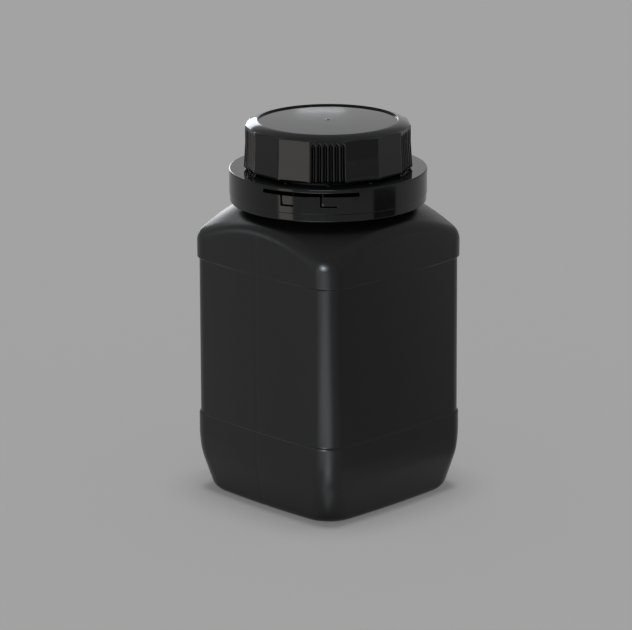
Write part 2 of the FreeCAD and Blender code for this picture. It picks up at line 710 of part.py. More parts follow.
def make_liner():
    """The soft disc that the cap presses on the neck's rim."""
    body = new_body("cap_liner")
    outline = new_sketch(body, "liner_outline", XY, level="rim_level")
    draw_circle(outline, "0", "0", "cap_bore - liner_gap", "edge")
    extrude(body, "liner_disc", outline, "liner_thickness")
    return body


# Tamper-evident ring

def sector_cut(body, name, start, span, low, high):
    """Cut a window through the ring's outer wall between two directions and levels."""
    sketch = new_sketch(body, name + "_profile", XZ, turn=start)
    inner = "ring_radius - ring_wall - %g" % OVERCUT
    outer = "ring_radius + %g" % OVERCUT
    draw_outline(sketch, [
        ("low_inner", inner, low),
        ("low_outer", outer, low),
        ("high_outer", outer, high),
        ("high_inner", inner, high),
    ])
    return spin(body, name, sketch, cut=True, angle=span)


def make_ring():
    """The ring that stays on the neck: hub, ledge, wall, slit, pawls and torn bridges."""
    body = new_body("tamper_ring")
    section = new_sketch(body, "ring_profile", XZ)
    draw_outline(section, [
        ("lip_foot", "neck_radius + hub_gap", "collar_top + hub_seat"),
        ("hub_foot", "hub_radius", "collar_top + hub_seat"),
        ("hub_top", "hub_radius", "ring_top - ring_web"),
        ("wall_top", "ring_radius - ring_wall", "ring_top - ring_web"),
        ("wall_foot", "ring_radius - ring_wall", "ring_foot"),
        ("foot_edge", "ring_radius - ring_foot_step - ring_edge", "ring_foot", "ring_edge", 1),
        ("foot_side", "ring_radius - ring_foot_step", "ring_foot + ring_edge"),
        ("foot_line", "ring_radius - ring_foot_step", "ring_foot + ring_foot_height"),
        ("side_line", "ring_radius", "ring_foot + ring_foot_height + ring_foot_step"),
        ("side_top", "ring_radius", "ring_top - ring_edge", "ring_edge", 1),
        ("ledge_edge", "ring_radius - ring_edge", "ring_top"),
        ("ledge_inner", "hub_bore", "ring_top"),
        ("lip_shelf", "hub_bore", "bead_foot_level - hub_seat"),
        ("lip_top", "neck_radius + hub_gap", "bead_foot_level - hub_seat"),
    ])
    spin(body, "ring_wall_section", section)
    sector_cut(body, "slit", "slit_start", "slit_span", "slit_foot", "slit_top")
    for side in ("left", "right"):
        start = side + "_pawl_start"
        span = side + "_pawl_span"
        edge = "pawl_cut / ring_radius * 180 / pi"
        sector_cut(body, side + "_pawl_side", start, edge, "pawl_foot", "slit_foot + pawl_cut")
        sector_cut(body, side + "_pawl_foot", start, span, "pawl_foot",
                   "pawl_foot + pawl_cut")
    stub = new_sketch(body, "bridge_profile", XZ)
    draw_outline(stub, [
        ("foot_inner", "hub_bore", "ring_top - bridge_sink"),
        ("foot_outer", "hub_bore + bridge_foot", "ring_top - bridge_sink"),
        ("top_outer", "hub_bore + bridge_tip", "cap_foot - bridge_gap"),
        ("top_inner", "hub_bore", "cap_foot - bridge_gap"),
    ])
    bridge = spin(body, "bridge", stub, angle="bridge_width / hub_bore * 180 / pi")
    around(body, "bridge_stubs", bridge, "bridges")
    body.Placement = Placement(Vector(), Rotation(Vector(0, 0, 1), size("front_heading")))
    bind(body, "Placement.Rotation.Angle", "(front_heading) * 1 deg")
    return body


# Build, test and write

def check(nodes):
    """Stop if any object failed to build or any sub-part is not one sound solid."""
    for item in doc.Objects:
        if "Invalid" in item.State or "Error" in item.State:
            raise RuntimeError("%s failed: %s" % (item.Name, item.State))
    for node in nodes:
        shape = node.Shape
        if shape.isNull() or not shape.isValid() or len(shape.Solids) != 1:
            raise RuntimeError("%s is not one valid solid" % node.Label)
        box = shape.BoundBox
        print("%-12s %9.1f mm3  x %.2f..%.2f  y %.2f..%.2f  z %.2f..%.2f" % (
            node.Label, shape.Volume, box.XMin, box.XMax, box.YMin, box.YMax, box.ZMin, box.ZMax))


def main():
    """Build every piece, test them all and write a file for each."""
    nodes = [make_bottle(), make_cap(), make_liner(), make_ring()]
    doc.recompute()
    check(nodes)
    os.makedirs("parts", exist_ok=True)
    for node in nodes:
        node.Shape.exportStep(os.path.join("parts", node.Label + ".step"))


main()
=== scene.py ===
"""Looks of a black square bottle with a screw cap and a tamper-evident ring."""

import math

import bmesh
import bpy
import numpy as np
from bpy.props import FloatProperty, FloatVectorProperty, IntProperty, PointerProperty
from mathutils import Euler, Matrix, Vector


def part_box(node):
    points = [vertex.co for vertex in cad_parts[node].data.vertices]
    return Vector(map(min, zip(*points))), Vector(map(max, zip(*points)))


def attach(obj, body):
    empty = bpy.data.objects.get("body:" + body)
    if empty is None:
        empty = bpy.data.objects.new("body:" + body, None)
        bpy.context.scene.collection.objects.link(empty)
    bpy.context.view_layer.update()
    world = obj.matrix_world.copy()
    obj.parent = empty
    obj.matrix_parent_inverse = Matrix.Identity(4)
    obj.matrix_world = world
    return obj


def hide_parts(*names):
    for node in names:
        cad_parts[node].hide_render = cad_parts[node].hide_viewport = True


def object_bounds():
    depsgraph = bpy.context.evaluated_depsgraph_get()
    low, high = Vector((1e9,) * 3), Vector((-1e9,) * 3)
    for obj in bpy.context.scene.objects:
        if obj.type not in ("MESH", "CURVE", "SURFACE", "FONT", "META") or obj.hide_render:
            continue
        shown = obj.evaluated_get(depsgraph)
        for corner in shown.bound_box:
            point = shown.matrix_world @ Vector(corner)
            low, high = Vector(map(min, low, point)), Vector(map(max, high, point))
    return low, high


bl_info = {
    "name": "Square Bottle",
    "version": (1, 0, 0),
    "blender": (4, 5, 0),
    "location": "View3D > Sidebar > Square Bottle",
    "description": "Builds and finishes a square wide-mouth bottle round its packed solids",
    "category": "Add Mesh",
}

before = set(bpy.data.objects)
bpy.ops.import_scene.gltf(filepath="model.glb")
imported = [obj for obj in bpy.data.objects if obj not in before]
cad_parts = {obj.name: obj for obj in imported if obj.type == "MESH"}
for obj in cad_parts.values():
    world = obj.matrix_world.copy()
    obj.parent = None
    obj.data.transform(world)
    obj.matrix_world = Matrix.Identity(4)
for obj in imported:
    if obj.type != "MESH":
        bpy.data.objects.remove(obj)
CAD_BOUNDS = [list(corner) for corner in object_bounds()]
BOTTLE_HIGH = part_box("bottle")[1]
CAP_LOW, CAP_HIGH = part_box("screw_cap")
RING_LOW, RING_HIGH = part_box("tamper_ring")
LINER_LOW, LINER_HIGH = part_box("cap_liner")

MM = 0.001
TURN = 2 * math.pi
MIDDLE = Vector((0, 0, (CAD_BOUNDS[0][2] + CAD_BOUNDS[1][2]) / 2))

# How finely the shapes are divided
ARC_STEPS = 4
PANEL_ROWS = 10
BAND_ROWS = 3
CONE_ROWS = 4
NECK_ROWS = 44
BORE_ROWS = 40
FLARE_ROWS = 8
SKIRT_ROWS = 4
GROOVE_END_ROWS = 14
CROWN_ROWS = 25
DOME_ROWS = 14
RIBBED_FACET_COLUMNS = 78
PLAIN_FACET_COLUMNS = 28
LINER_COLUMNS = 180
RING_COLUMNS = 288

# Limits of a rounding: the cosine of a bend too slight for one, and the share of a side
NEARLY_STRAIGHT = 0.9999
ROOM_FOR_ROUNDING = 0.48

# Small forms that aren't worth a property: roundings, a softness of edges, the base's flat in
# roundings from the foot's outline, the mark of the rim and the gap that keeps rows apart
TAPER_ROUNDING = 30 * MM
PANEL_ROUNDING = 0.4 * MM
FACET_CORNER = 0.9 * MM
SOFT_EDGE = 0.3 * MM
FLAT_FROM_FOOT = 1.3
LINER_MARK = 0.06 * MM
ROW_GAP = 0.3 * MM


# Properties

def length(millimetres, description):
    """A length property, given in millimetres and kept in metres."""
    return FloatProperty(description=description, default=millimetres * MM, min=0,
                         unit="LENGTH", precision=5)


def angle(degrees, description):
    """An angle property, given in degrees."""
    return FloatProperty(description=description, default=math.radians(degrees), subtype="ANGLE")


def number(count, description):
    """A property that counts things."""
    return IntProperty(description=description, default=count, min=1)


def colour(code, description):
    """A colour property, given as an sRGB hex code."""
    return FloatVectorProperty(description=description, default=linear(code), subtype="COLOR",
                               size=3, min=0, max=1)


def labelled(group):
    """Label each property of a group after its own name."""
    for name, declared in group.__annotations__.items():
        declared.keywords["name"] = name.replace("_", " ").capitalize()
    return group


def linear(code):
    """The linear values of an sRGB hex code."""
    values = []
    for start in (1, 3, 5):
        level = int(code[start:start + 2], 16) / 255
        values.append(level / 12.92 if level <= 0.04045 else ((level + 0.055) / 1.055) ** 2.4)
    return tuple(values)


@labelled
class BottleSizes(bpy.types.PropertyGroup):
    """Sizes of the blown bottle."""
    half_width: length(BOTTLE_HIGH.x / MM, "Middle of a face from the axis")
    rim_level: length(BOTTLE_HIGH.z / MM, "Height of the neck's rim")
    face_lean: angle(3.85, "Lean of a bowed face where it meets a corner")
    band_corner: length(8.3, "Corner radius of the two bands")
    wall: length(1.2, "Wall of the blown body")
    foot_height: length(22.5, "Height of the tapered foot")
    foot_turn: length(15.5, "Level where the taper has set in")
    foot_turn_inset: length(0.45, "Inset where the taper has set in")
    foot_inset: length(3.3, "Inset of the foot at the base")
    foot_corner: length(12.0, "Corner radius of the foot at the base")
    foot_round: length(5.5, "Rounding between the foot and the base")
    lower_step: length(31.2, "Level of the lower step")
    upper_step: length(93.6, "Level of the upper step")
    step_rise: length(0.7, "Height over which a band steps to the panel")
    step_round: length(0.45, "Rounding of the steps' edges")
    band_edge: length(1.1, "Rounding of the lower band's top edge")
    panel_low_inset: length(0.6, "Step from the lower band to the panel")
    panel_top_inset: length(0.85, "Step to the upper band at the corners")
    panel_top_flush: length(0.1, "The same step in mid-face")
    panel_top_lean: angle(6.7, "Lean of a face at the panel's upper edge")
    shoulder_top: length(115.0, "Level of the collar's foot")
    shoulder_slope: angle(32.4, "Fall of the shoulder cone")
    shoulder_round: length(6.5, "Rounding from the shoulder to the faces")
    collar_radius: length(32.2, "Radius of the collar under the neck")
    collar_top: length(118.0, "Level of the collar's top")
    collar_fillet: length(1.2, "Fillet at the collar's foot")
    mouth_radius: length(26.5, "Radius of the clear opening")
    neck_radius: length(28.1, "Outer radius of the neck")
    bead_rise: length(3.0, "From the collar up to the bead")
    bead_height: length(2.2, "Height of the bead that holds the ring")
    bead_land: length(0.75, "Height of the bead's upright edge")
    bead_depth: length(1.9, "How far the bead stands out")
    push_up: length(1.6, "Depth of the panel in the base")
    push_up_margin: length(9.0, "From the foot's outline to that panel")
    pinch_width: length(2.6, "Width of the pinch-off groove")
    pinch_depth: length(0.9, "Depth of the pinch-off groove")
    weld_width: length(1.0, "Width of the pinch-off weld")
    weld_height: length(0.6, "Height of the pinch-off weld")
    seam_width: length(0.34, "Width of the mould's parting line")
    seam_height: length(0.07, "Height of the mould's parting line")


@labelled
class ThreadSizes(bpy.types.PropertyGroup):
    """Sizes of the two threads in mesh."""
    pitch: length(5.0, "Rise of the thread in one turn")
    depth: length(1.1, "Depth of both threads")
    root: length(3.0, "Width of a thread at its root")
    crest: length(1.5, "Width of a thread at its crest")
    neck_low: length(15.0, "From the collar's top to the thread's start")
    neck_high: length(3.0, "From the rim down to the thread's end")
    cap_low: length(3.1, "From the skirt's foot to the thread's start")
    cap_high: length(4.25, "From the liner down to the thread's end")
    run_out: angle(14.0, "Angle over which a thread's ends die out")


@labelled
class CapSizes(bpy.types.PropertyGroup):
    """Sizes of the screw cap."""
    foot: length(CAP_LOW.z / MM, "Level of the foot of the skirt")
    top: length(CAP_HIGH.z / MM, "Level of the cap's rim")
    bore: length(29.5, "Inner radius of the skirt")
    wall: length(1.4, "Wall of the skirt in the middle of a facet")
    heading: angle(-45.0, "Direction of the ribbed facet in front")
    groups: number(5, "Facets that carry ribs")
    facets_per_group: number(3, "Facets from one ribbed facet to the next")
    grooves: number(6, "Grooves in a ribbed facet")
    groove_depth: length(1.05, "Depth of a groove's sharp bottom")
    ridge_width: length(0.32, "Width of the ridge between two grooves")
    groove_top: length(144.6, "Level where the grooves run out")
    groove_fade: length(1.3, "Height over which the grooves run out")
    foot_flare: length(0.65, "How far the foot of the skirt flares out")
    flare_height: length(9.4, "Height over which the flare dies out")
    rounding: length(3.9, "Rounding of the cap's top edge")
    land: length(1.0, "From the rounding in to the recess")
    facet_drop: length(1.7, "From the cap's top to the facets' straight tops")
    crown_fall: angle(11.0, "Fall of the crown where it leaves the recess")
    recess_depth: length(0.6, "Depth of the recess at its edge")
    dome: length(0.36, "Rise of the recess's floor in the middle")
    gate_radius: length(0.8, "Radius of the moulding gate's nub")
    gate_height: length(0.2, "Height of the moulding gate's nub")
    edge: length(0.15, "Rounding of the facets' top corners")


@labelled
class RingSizes(bpy.types.PropertyGroup):
    """Sizes of the tamper-evident ring."""
    foot: length(RING_LOW.z / MM, "Level of the ring's lower edge")
    radius: length(RING_HIGH.x / MM, "Outer radius of the ring")
    height: length(12.6, "Height of the ring")
    stub_top: length(RING_HIGH.z / MM, "Level of the torn bridges' ends")
    wall: length(1.5, "Wall of the ring, its hub and its ledge")
    edge: length(0.9, "Rounding of the outer edges")
    room: length(4.4, "Clear width between the hub and the wall")
    lip: length(1.9, "How far the hub's lip reaches in under the bead")
    lip_height: length(2.6, "Height of that lip")
    hub_lift: length(2.3, "From the ring's foot up to the hub's")
    line_height: length(3.0, "Height of the line above the lower edge")
    line_step: length(0.25, "Depth of that line")
    heading: angle(-45.0, "Direction from which the slit is measured")
    slit_start: angle(-40.0, "Direction of the slit's left end")
    slit_span: angle(58.0, "Angle that the slit covers")
    slit_drop: length(1.35, "From the ring's top to the slit")
    slit_height: length(1.5, "Height of the slit")
    pawl_cut: length(0.6, "Width of the cuts that free a pawl")
    pawl_drop: length(4.0, "Height of a pawl")
    left_pawl: angle(-28.0, "Direction of the left pawl's free edge")
    left_span: angle(8.0, "Angle that the left pawl covers")
    right_pawl: angle(-4.5, "Direction of the right pawl's free edge")
    right_span: angle(9.5, "Angle that the right pawl covers")
    stubs: number(12, "Torn bridges on the ledge")
    stub_width: length(1.0, "Width of a torn bridge")
    stub_foot: length(1.8, "Radial length of a torn bridge where it joins")
    stub_tip: length(0.8, "Radial length of a torn bridge at its end")


@labelled
class Finishes(bpy.types.PropertyGroup):
    """Colours of the plastics and of the stage."""
    bottle: colour("#0D0D0E", "Black polyethylene of the blown bottle")
    cap: colour("#08090A", "Black polypropylene of the cap")
    ring: colour("#08090A", "Black polypropylene of the ring")
    liner: colour("#E6E5E0", "Pale foam of the liner")
    floor: colour("#A4A4A4", "Plain floor and background")


@labelled
class StageSettings(bpy.types.PropertyGroup):
    """The camera's place."""
    azimuth: angle(45.0, "Direction from which the camera looks")
    elevation: angle(15.9, "Height of the camera above the horizon")
    roll: angle(-0.19, "Turn of the camera about its own axis")
    distance: length(1250, "From the camera to the bottle's middle")
    focal: FloatProperty(description="Focal length in millimetres", default=184.7, min=1)
    pan: angle(-0.222, "How far right of the bottle's middle the camera looks")
    tilt: angle(-0.17, "How far above the bottle's middle the camera looks")


# Mesh helpers

def soften(points, radii, steps):
    """Round the bends of one polyline, or of many side by side, with an arc at each radius."""
    points = [np.asarray(point, float) for point in points]
    made = []
    for index, here in enumerate(points):
        if not radii[index] or index in (0, len(points) - 1):
            made.append(here)
            continue
        back = points[index - 1] - here
        onward = points[index + 1] - here
        back_length = np.linalg.norm(back, axis=-1, keepdims=True)
        onward_length = np.linalg.norm(onward, axis=-1, keepdims=True)
        back = back / back_length
        onward = onward / onward_length
        cosine = np.clip(np.sum(back * onward, axis=-1, keepdims=True),
                         -NEARLY_STRAIGHT, NEARLY_STRAIGHT)
        half = np.arccos(cosine) / 2
        room = ROOM_FOR_ROUNDING * np.minimum(back_length, onward_length)
        setback = np.minimum(radii[index] / np.tan(half), room)
        weight = np.sin(half)
        for step in range(steps + 1):
            share = step / steps
            first = (1 - share) ** 2
            second = 2 * weight * share * (1 - share)
            third = share ** 2
            offset = setback * (back * first + onward * third) / (first + second + third)
            made.append(here + offset)
    return made


def between(start, end, count):
    """Rows evenly placed between two rows, without either."""
    return [start + (end - start) * step / (count + 1) for step in range(1, count + 1)]


def smooth(value):
    """A soft step from 0 to 1."""
    value = np.clip(value, 0, 1)
    return value * value * (3 - 2 * value)


def section(corners, steps=ARC_STEPS):
    """A section beside the Z axis, from corners of radius, height and rounding."""
    return soften([corner[:2] for corner in corners], [corner[2] for corner in corners], steps)


def row_at(directions, radius, level):
    """A row of points round the Z axis, with a radius and a level for all or for each."""
    radius = np.broadcast_to(radius, directions.shape)
    level = np.broadcast_to(level, directions.shape)
    return np.column_stack([np.cos(directions) * radius, np.sin(directions) * radius, level])


def spun(profile, directions):
    """Rows made by turning profile points of radius and height to each direction."""
    return [row_at(directions, radius, level) for radius, level in profile]


def pole(level):
    """A row of one point on the Z axis."""
    return np.array([[0, 0, level]])


def mesh_from_rows(name, rows):
    """A piece from rows of points round the Z axis; its first and last rows are poles."""
    mesh = bmesh.new()
    made = [[mesh.verts.new(point) for point in row] for row in rows]
    for lower, upper in zip(made, made[1:]):
        count = max(len(lower), len(upper))
        for index in range(count):
            following = (index + 1) % count
            if len(lower) == 1:
                mesh.faces.new((lower[0], upper[following], upper[index]))
            elif len(upper) == 1:
                mesh.faces.new((lower[index], lower[following], upper[0]))
            else:
                mesh.faces.new((lower[index], lower[following], upper[following], upper[index]))
    return finished_piece(name, mesh)


def add_object(name, data):
    """A new object in the scene."""
    made = bpy.data.objects.new(name, data)
    bpy.context.scene.collection.objects.link(made)
    return made


def object_from(name, mesh):
    """An object that takes over a bmesh."""
    data = bpy.data.meshes.new(name)
    mesh.to_mesh(data)
    mesh.free()
    return add_object(name, data)


def finished_piece(name, mesh):
    """A smooth-shaded piece whose faces all face out."""
    bmesh.ops.recalc_face_normals(mesh, faces=mesh.faces)
    piece = object_from(name, mesh)
    piece.data.shade_smooth()
    return piece


def dress(piece, body, slot, material, *nodes):
    """Let a piece's large faces keep their own shading next to small roundings, give it its
    material, seat it on its body and let it stand for its nodes. The slot is not used."""
    modifier = piece.modifiers.new("weighted_normals", "WEIGHTED_NORMAL")
    modifier.weight = 60
    modifier.keep_sharp = True
    piece.data.materials.append(material)
    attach(piece, body)
    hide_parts(*nodes)


def ridge(directions, level, start, base, turns, thread):
    """Height of a thread above its wall at one level, for each direction."""
    along = ((directions - start) / TURN) % 1
    height = np.zeros(len(directions))
    for whole in range(math.ceil(turns) + 1):
        travel = along + whole
        distance = abs(level - base - thread.pitch * travel)
        flank = (thread.root / 2 - distance) / ((thread.root - thread.crest) / 2)
        ends = np.minimum(travel, turns - travel) * TURN / thread.run_out
        height = np.maximum(height, thread.depth * smooth(flank) * smooth(ends))
    return height


# Blown bottle

def stations(face_steps=40, corner_steps=16, seam_reach=2.4 * MM, seam_step=0.2 * MM, face=62 * MM):
    """Places round the bottle: quarter, 1 on a corner or 0 on a face, and share of the way."""
    count = round(2 * seam_reach / seam_step)
    near_seam = [0.5 + (index / count - 0.5) * 2 * seam_reach / face for index in range(count + 1)]
    coarse = [step / face_steps for step in range(face_steps)]
    coarse = [share for share in coarse if abs(share - 0.5) > seam_reach / face]
    faces = sorted(coarse + near_seam)
    corners = [step / corner_steps for step in range(corner_steps)]
    places = []
    for quarter in range(4):
        places += [(quarter, 0, share) for share in faces]
        places += [(quarter, 1, share) for share in corners]
    return np.array(places).T


def outline(half, lean, corner, places):
    """Points and outward normals round a square with rounded corners and bowed faces."""
    sine = math.sin(lean)
    cosine = math.cos(lean)
    bow = (half - corner * (cosine - sine)) / (1 + sine - cosine)
    arm = half - bow
    swell = bow - corner
    middle = (arm + math.sqrt(2 * swell ** 2 - arm ** 2)) / 2
    quarter, on_corner, share = places
    on_corner = on_corner > 0
    face_turn = (2 * share - 1) * lean
    corner_turn = lean + share * (TURN / 4 - 2 * lean)
    local = np.where(on_corner, corner_turn, face_turn)
    radius = np.where(on_corner, corner, bow)
    x = np.where(on_corner, middle, arm) + radius * np.cos(local)
    y = np.where(on_corner, middle, 0) + radius * np.sin(local)
    turn = quarter * TURN / 4
    points = np.column_stack([x * np.cos(turn) - y * np.sin(turn),
                              x * np.sin(turn) + y * np.cos(turn)])
    normals = np.column_stack([np.cos(local + turn), np.sin(local + turn)])
    return points, normals


def level_row(half, lean, corner, level, places):
    """A row of points round the bottle at one level."""
    points = outline(half, lean, corner, places)[0]
    return np.column_stack([points, np.full(len(points), level)])


def shoulder_rows(half, lean, corner, rounding, apex, slope, places, steps=12):
    """Rows over the rounding from the upright wall to the shoulder cone, which would reach
    the axis at the apex's level, and the direction of each column on the cone."""
    points, normals = outline(half, lean, corner, places)
    inner = points - normals * rounding
    reach = np.linalg.norm(inner, axis=1)
    outward = inner / reach[:, None]
    level = apex - reach * math.tan(slope) - rounding / math.cos(slope)
    centres = np.column_stack([inner, level])
    wall_side = np.column_stack([normals, np.zeros(len(points))])
    cone_side = np.column_stack([outward * math.sin(slope),
                                 np.full(len(points), math.cos(slope))])
    bend = np.arccos(np.clip(np.sum(wall_side * cone_side, axis=1), -1, 1))[:, None]
    rows = []
    for step in range(steps + 1):
        share = step / steps
        facing = np.sin((1 - share) * bend) * wall_side + np.sin(share * bend) * cone_side
        rows.append(centres + rounding * facing / np.sin(bend))
    return rows, np.arctan2(outward[:, 1], outward[:, 0])


def strip(row, width, blur):
    """1 where a row's points lie in a strip along the plane X = 0, and 0 beside its soft edges."""
    return smooth((width / 2 - abs(row[..., 0])) / blur + 0.5)


def base_rows(sizes, places):
    """The base from its middle out: pushed-up panel, pinch-off weld and groove."""
    lean = sizes.face_lean
    foot = sizes.half_width - sizes.foot_inset
    half = foot - sizes.push_up_margin
    corner = sizes.foot_corner - sizes.foot_inset
    panel = level_row(half, lean, corner, sizes.push_up, places)
    panel_foot = level_row(half, lean, corner, 0, places)
    middle = pole(sizes.push_up)
    innermost = 0.02
    inner = middle + (panel - middle) * innermost
    outer = level_row(foot - sizes.foot_round * FLAT_FROM_FOOT, lean, corner, 0, places)
    rows = soften([inner, panel, panel_foot, outer], [0, PANEL_ROUNDING, PANEL_ROUNDING, 0], 3)
    rows[1:1] = between(rows[0], rows[1], PANEL_ROWS)
    panel_edge = sizes.push_up * 0.98
    shaped = []
    for row in rows:
        row = row.copy()
        ceiling = sizes.push_up - sizes.weld_height * strip(row, sizes.weld_width, SOFT_EDGE)
        row[:, 2] = np.where(row[:, 2] > panel_edge, ceiling, row[:, 2])
        shaped.append(row)
    return [pole(sizes.push_up - sizes.weld_height), *shaped]


def cut_pinch_groove(row, sizes):
    """Raise the part of a low row that lies in the pinch-off groove."""
    row = row.copy()
    floor = sizes.pinch_depth * strip(row, sizes.pinch_width, 0.35 * MM)
    row[:, 2] = np.maximum(row[:, 2], floor)
    return row


def mark_seam(row, sizes):
    """Sink a shallow hollow along the plane X = 0 and leave the mould's parting line in it,
    level with the face."""
    row = row.copy()
    away = row[:, 0] / (sizes.seam_width / 2)
    depth = sizes.seam_height * (np.exp(-(away / 4) ** 2) - np.exp(-away ** 2))
    row[:, 1] -= np.sign(row[:, 1]) * depth
    return row


def wall_rows(sizes, places):
    """The outer walls from the base's edge up to the upper band."""
    lean = sizes.face_lean
    half = sizes.half_width
    corner = sizes.band_corner
    levels = [
        (half - sizes.foot_inset - sizes.foot_round * FLAT_FROM_FOOT, lean,
         sizes.foot_corner * 0.6, 0, 0),
        (half - sizes.foot_inset, lean, sizes.foot_corner, 0, sizes.foot_round),
        (half - sizes.foot_turn_inset, lean, corner, sizes.foot_turn, TAPER_ROUNDING),
        (half, lean, corner, sizes.foot_height, TAPER_ROUNDING),
        (half, lean, corner, sizes.lower_step, sizes.band_edge),
        (half - sizes.panel_low_inset, lean, corner - sizes.panel_low_inset,
         sizes.lower_step + sizes.step_rise, sizes.step_round),
        (half - sizes.panel_top_flush, sizes.panel_top_lean, corner - sizes.panel_top_inset,
         sizes.upper_step - sizes.step_rise, sizes.step_round),
        (half, lean, corner, sizes.upper_step, sizes.step_round),
        (half, lean, corner, sizes.upper_step + 2 * sizes.step_rise, 0),
    ]
    rows = [level_row(*level[:4], places) for level in levels]
    return soften(rows, [level[4] for level in levels], 8)


def neck_rows(sizes, thread, directions):
    """The collar, the bead and the threaded neck up to the rim's inner edge."""
    start = sizes.collar_radius + 2 * sizes.collar_fillet
    fall = (start - sizes.collar_radius) * math.tan(sizes.shoulder_slope)
    bead = sizes.neck_radius + sizes.bead_depth
    bead_foot = sizes.collar_top + sizes.bead_rise
    bead_top = bead_foot + sizes.bead_height
    low = bead_top + 2 * MM
    high = sizes.rim_level - 1 * MM
    profile = section([
        (start, sizes.shoulder_top - fall, 0),
        (sizes.collar_radius, sizes.shoulder_top, sizes.collar_fillet),
        (sizes.collar_radius, sizes.collar_top, 0.4 * MM),
        (sizes.neck_radius, sizes.collar_top, 0.3 * MM),
        (sizes.neck_radius, bead_foot, 0.2 * MM),
        (bead, bead_foot, 0.2 * MM),
        (bead, bead_foot + sizes.bead_land, 0.3 * MM),
        (sizes.neck_radius, bead_top, 0.6 * MM),
        (sizes.neck_radius, low, 0),
    ])
    rim = section([
        (sizes.neck_radius, high, 0),
        (sizes.neck_radius, sizes.rim_level, 0.5 * MM),
        (sizes.mouth_radius, sizes.rim_level, 0.4 * MM),
        (sizes.mouth_radius, sizes.rim_level - 2 * MM, 0),
    ])
    base = sizes.collar_top + thread.neck_low
    turns = (sizes.rim_level - base - thread.neck_high) / thread.pitch
    threaded = []
    for level in np.linspace(low, high, NECK_ROWS + 1)[1:]:
        radius = sizes.neck_radius + ridge(directions, level, 0, base, turns, thread)
        threaded.append(row_at(directions, radius, level))
    return spun(profile, directions) + threaded + spun(rim[1:], directions)


def inner_rows(sizes, places):
    """The inside from the foot of the bore down to the middle of the floor."""
    lean = sizes.face_lean
    half = sizes.half_width - sizes.panel_top_inset - sizes.wall
    corner = sizes.band_corner - sizes.panel_top_inset - sizes.wall
    slope = sizes.shoulder_slope
    apex = sizes.shoulder_top + (sizes.collar_radius - sizes.wall) * math.tan(slope) - sizes.wall
    shoulder, directions = shoulder_rows(half, lean, corner, sizes.shoulder_round - sizes.wall,
                                         apex, slope, places)
    bore_foot = apex - sizes.mouth_radius * math.tan(slope)
    bore = spun([(sizes.mouth_radius, bore_foot)], directions)
    floor = sizes.wall + sizes.push_up
    foot_half = sizes.half_width - sizes.foot_inset - sizes.wall
    low = [
        level_row(half, lean, corner, sizes.foot_height + 10 * MM, places),
        level_row(half, lean, corner, sizes.foot_height, places),
        level_row(foot_half, lean, sizes.foot_corner - sizes.wall, floor, places),
        np.tile(pole(floor), (len(directions), 1)),
    ]
    low = soften(low, [0, TAPER_ROUNDING, sizes.foot_round - sizes.wall, 0], 6)[:-1]
    return bore + shoulder[::-1] + low + [pole(floor)]


class SQUARE_BOTTLE_OT_bottle(bpy.types.Operator):
    """Build the blown bottle with its base, steps, shoulder, neck, thread and inside"""
    bl_idname = "square_bottle.bottle"
    bl_label = "Blown Bottle"

    def execute(self, context):
        sizes = context.scene.bottle_sizes
        thread = context.scene.thread_sizes
        places = stations()
        walls = wall_rows(sizes, places)
        slope = sizes.shoulder_slope
        apex = sizes.shoulder_top + sizes.collar_radius * math.tan(slope)
        shoulder, directions = shoulder_rows(sizes.half_width, sizes.face_lean,
                                             sizes.band_corner, sizes.shoulder_round,
                                             apex, slope, places)
        neck = neck_rows(sizes, thread, directions)
        cone = between(shoulder[-1], neck[0], CONE_ROWS)
        band = between(walls[-1], shoulder[0], BAND_ROWS)
        outside = base_rows(sizes, places)
        outside += [cut_pinch_groove(row, sizes) for row in walls[1:]]
        outside += band + shoulder + cone + neck
        body = [outside[0]] + [mark_seam(row, sizes) for row in outside[1:]]
        piece = mesh_from_rows("blown_bottle", body + inner_rows(sizes, places))
        material = blown_polyethylene(context.scene.finishes.bottle)
        dress(piece, "bottle", "bottle", material, "bottle")
        return {"FINISHED"}


# Screw cap

def facet_radius_at(local, apothem, count, rounding):
    """Radius of a polygon with softened corners, at an angle from the middle of a facet."""
    half = TURN / 2 / count
    local = abs(local)
    flat_end = math.atan((apothem - rounding) * math.tan(half) / apothem)
    corner = (apothem - rounding) / math.cos(half)
    off = half - local
    under = np.maximum(rounding ** 2 - (corner * np.sin(off)) ** 2, 0)
    return np.where(local <= flat_end, apothem / np.cos(local),
                    corner * np.cos(off) + np.sqrt(under))


def facet_count(sizes):
    """How many facets go round the cap."""
    return sizes.groups * sizes.facets_per_group


def cap_columns(sizes):
    """Directions round the cap, close together where there are ribs."""
    count = facet_count(sizes)
    facet = TURN / count
    directions = []
    for index in range(count):
        ribbed = index % sizes.facets_per_group == 0
        steps = RIBBED_FACET_COLUMNS if ribbed else PLAIN_FACET_COLUMNS
        directions += [facet * (index - 0.5 + step / steps) for step in range(steps)]
    return np.array(directions)


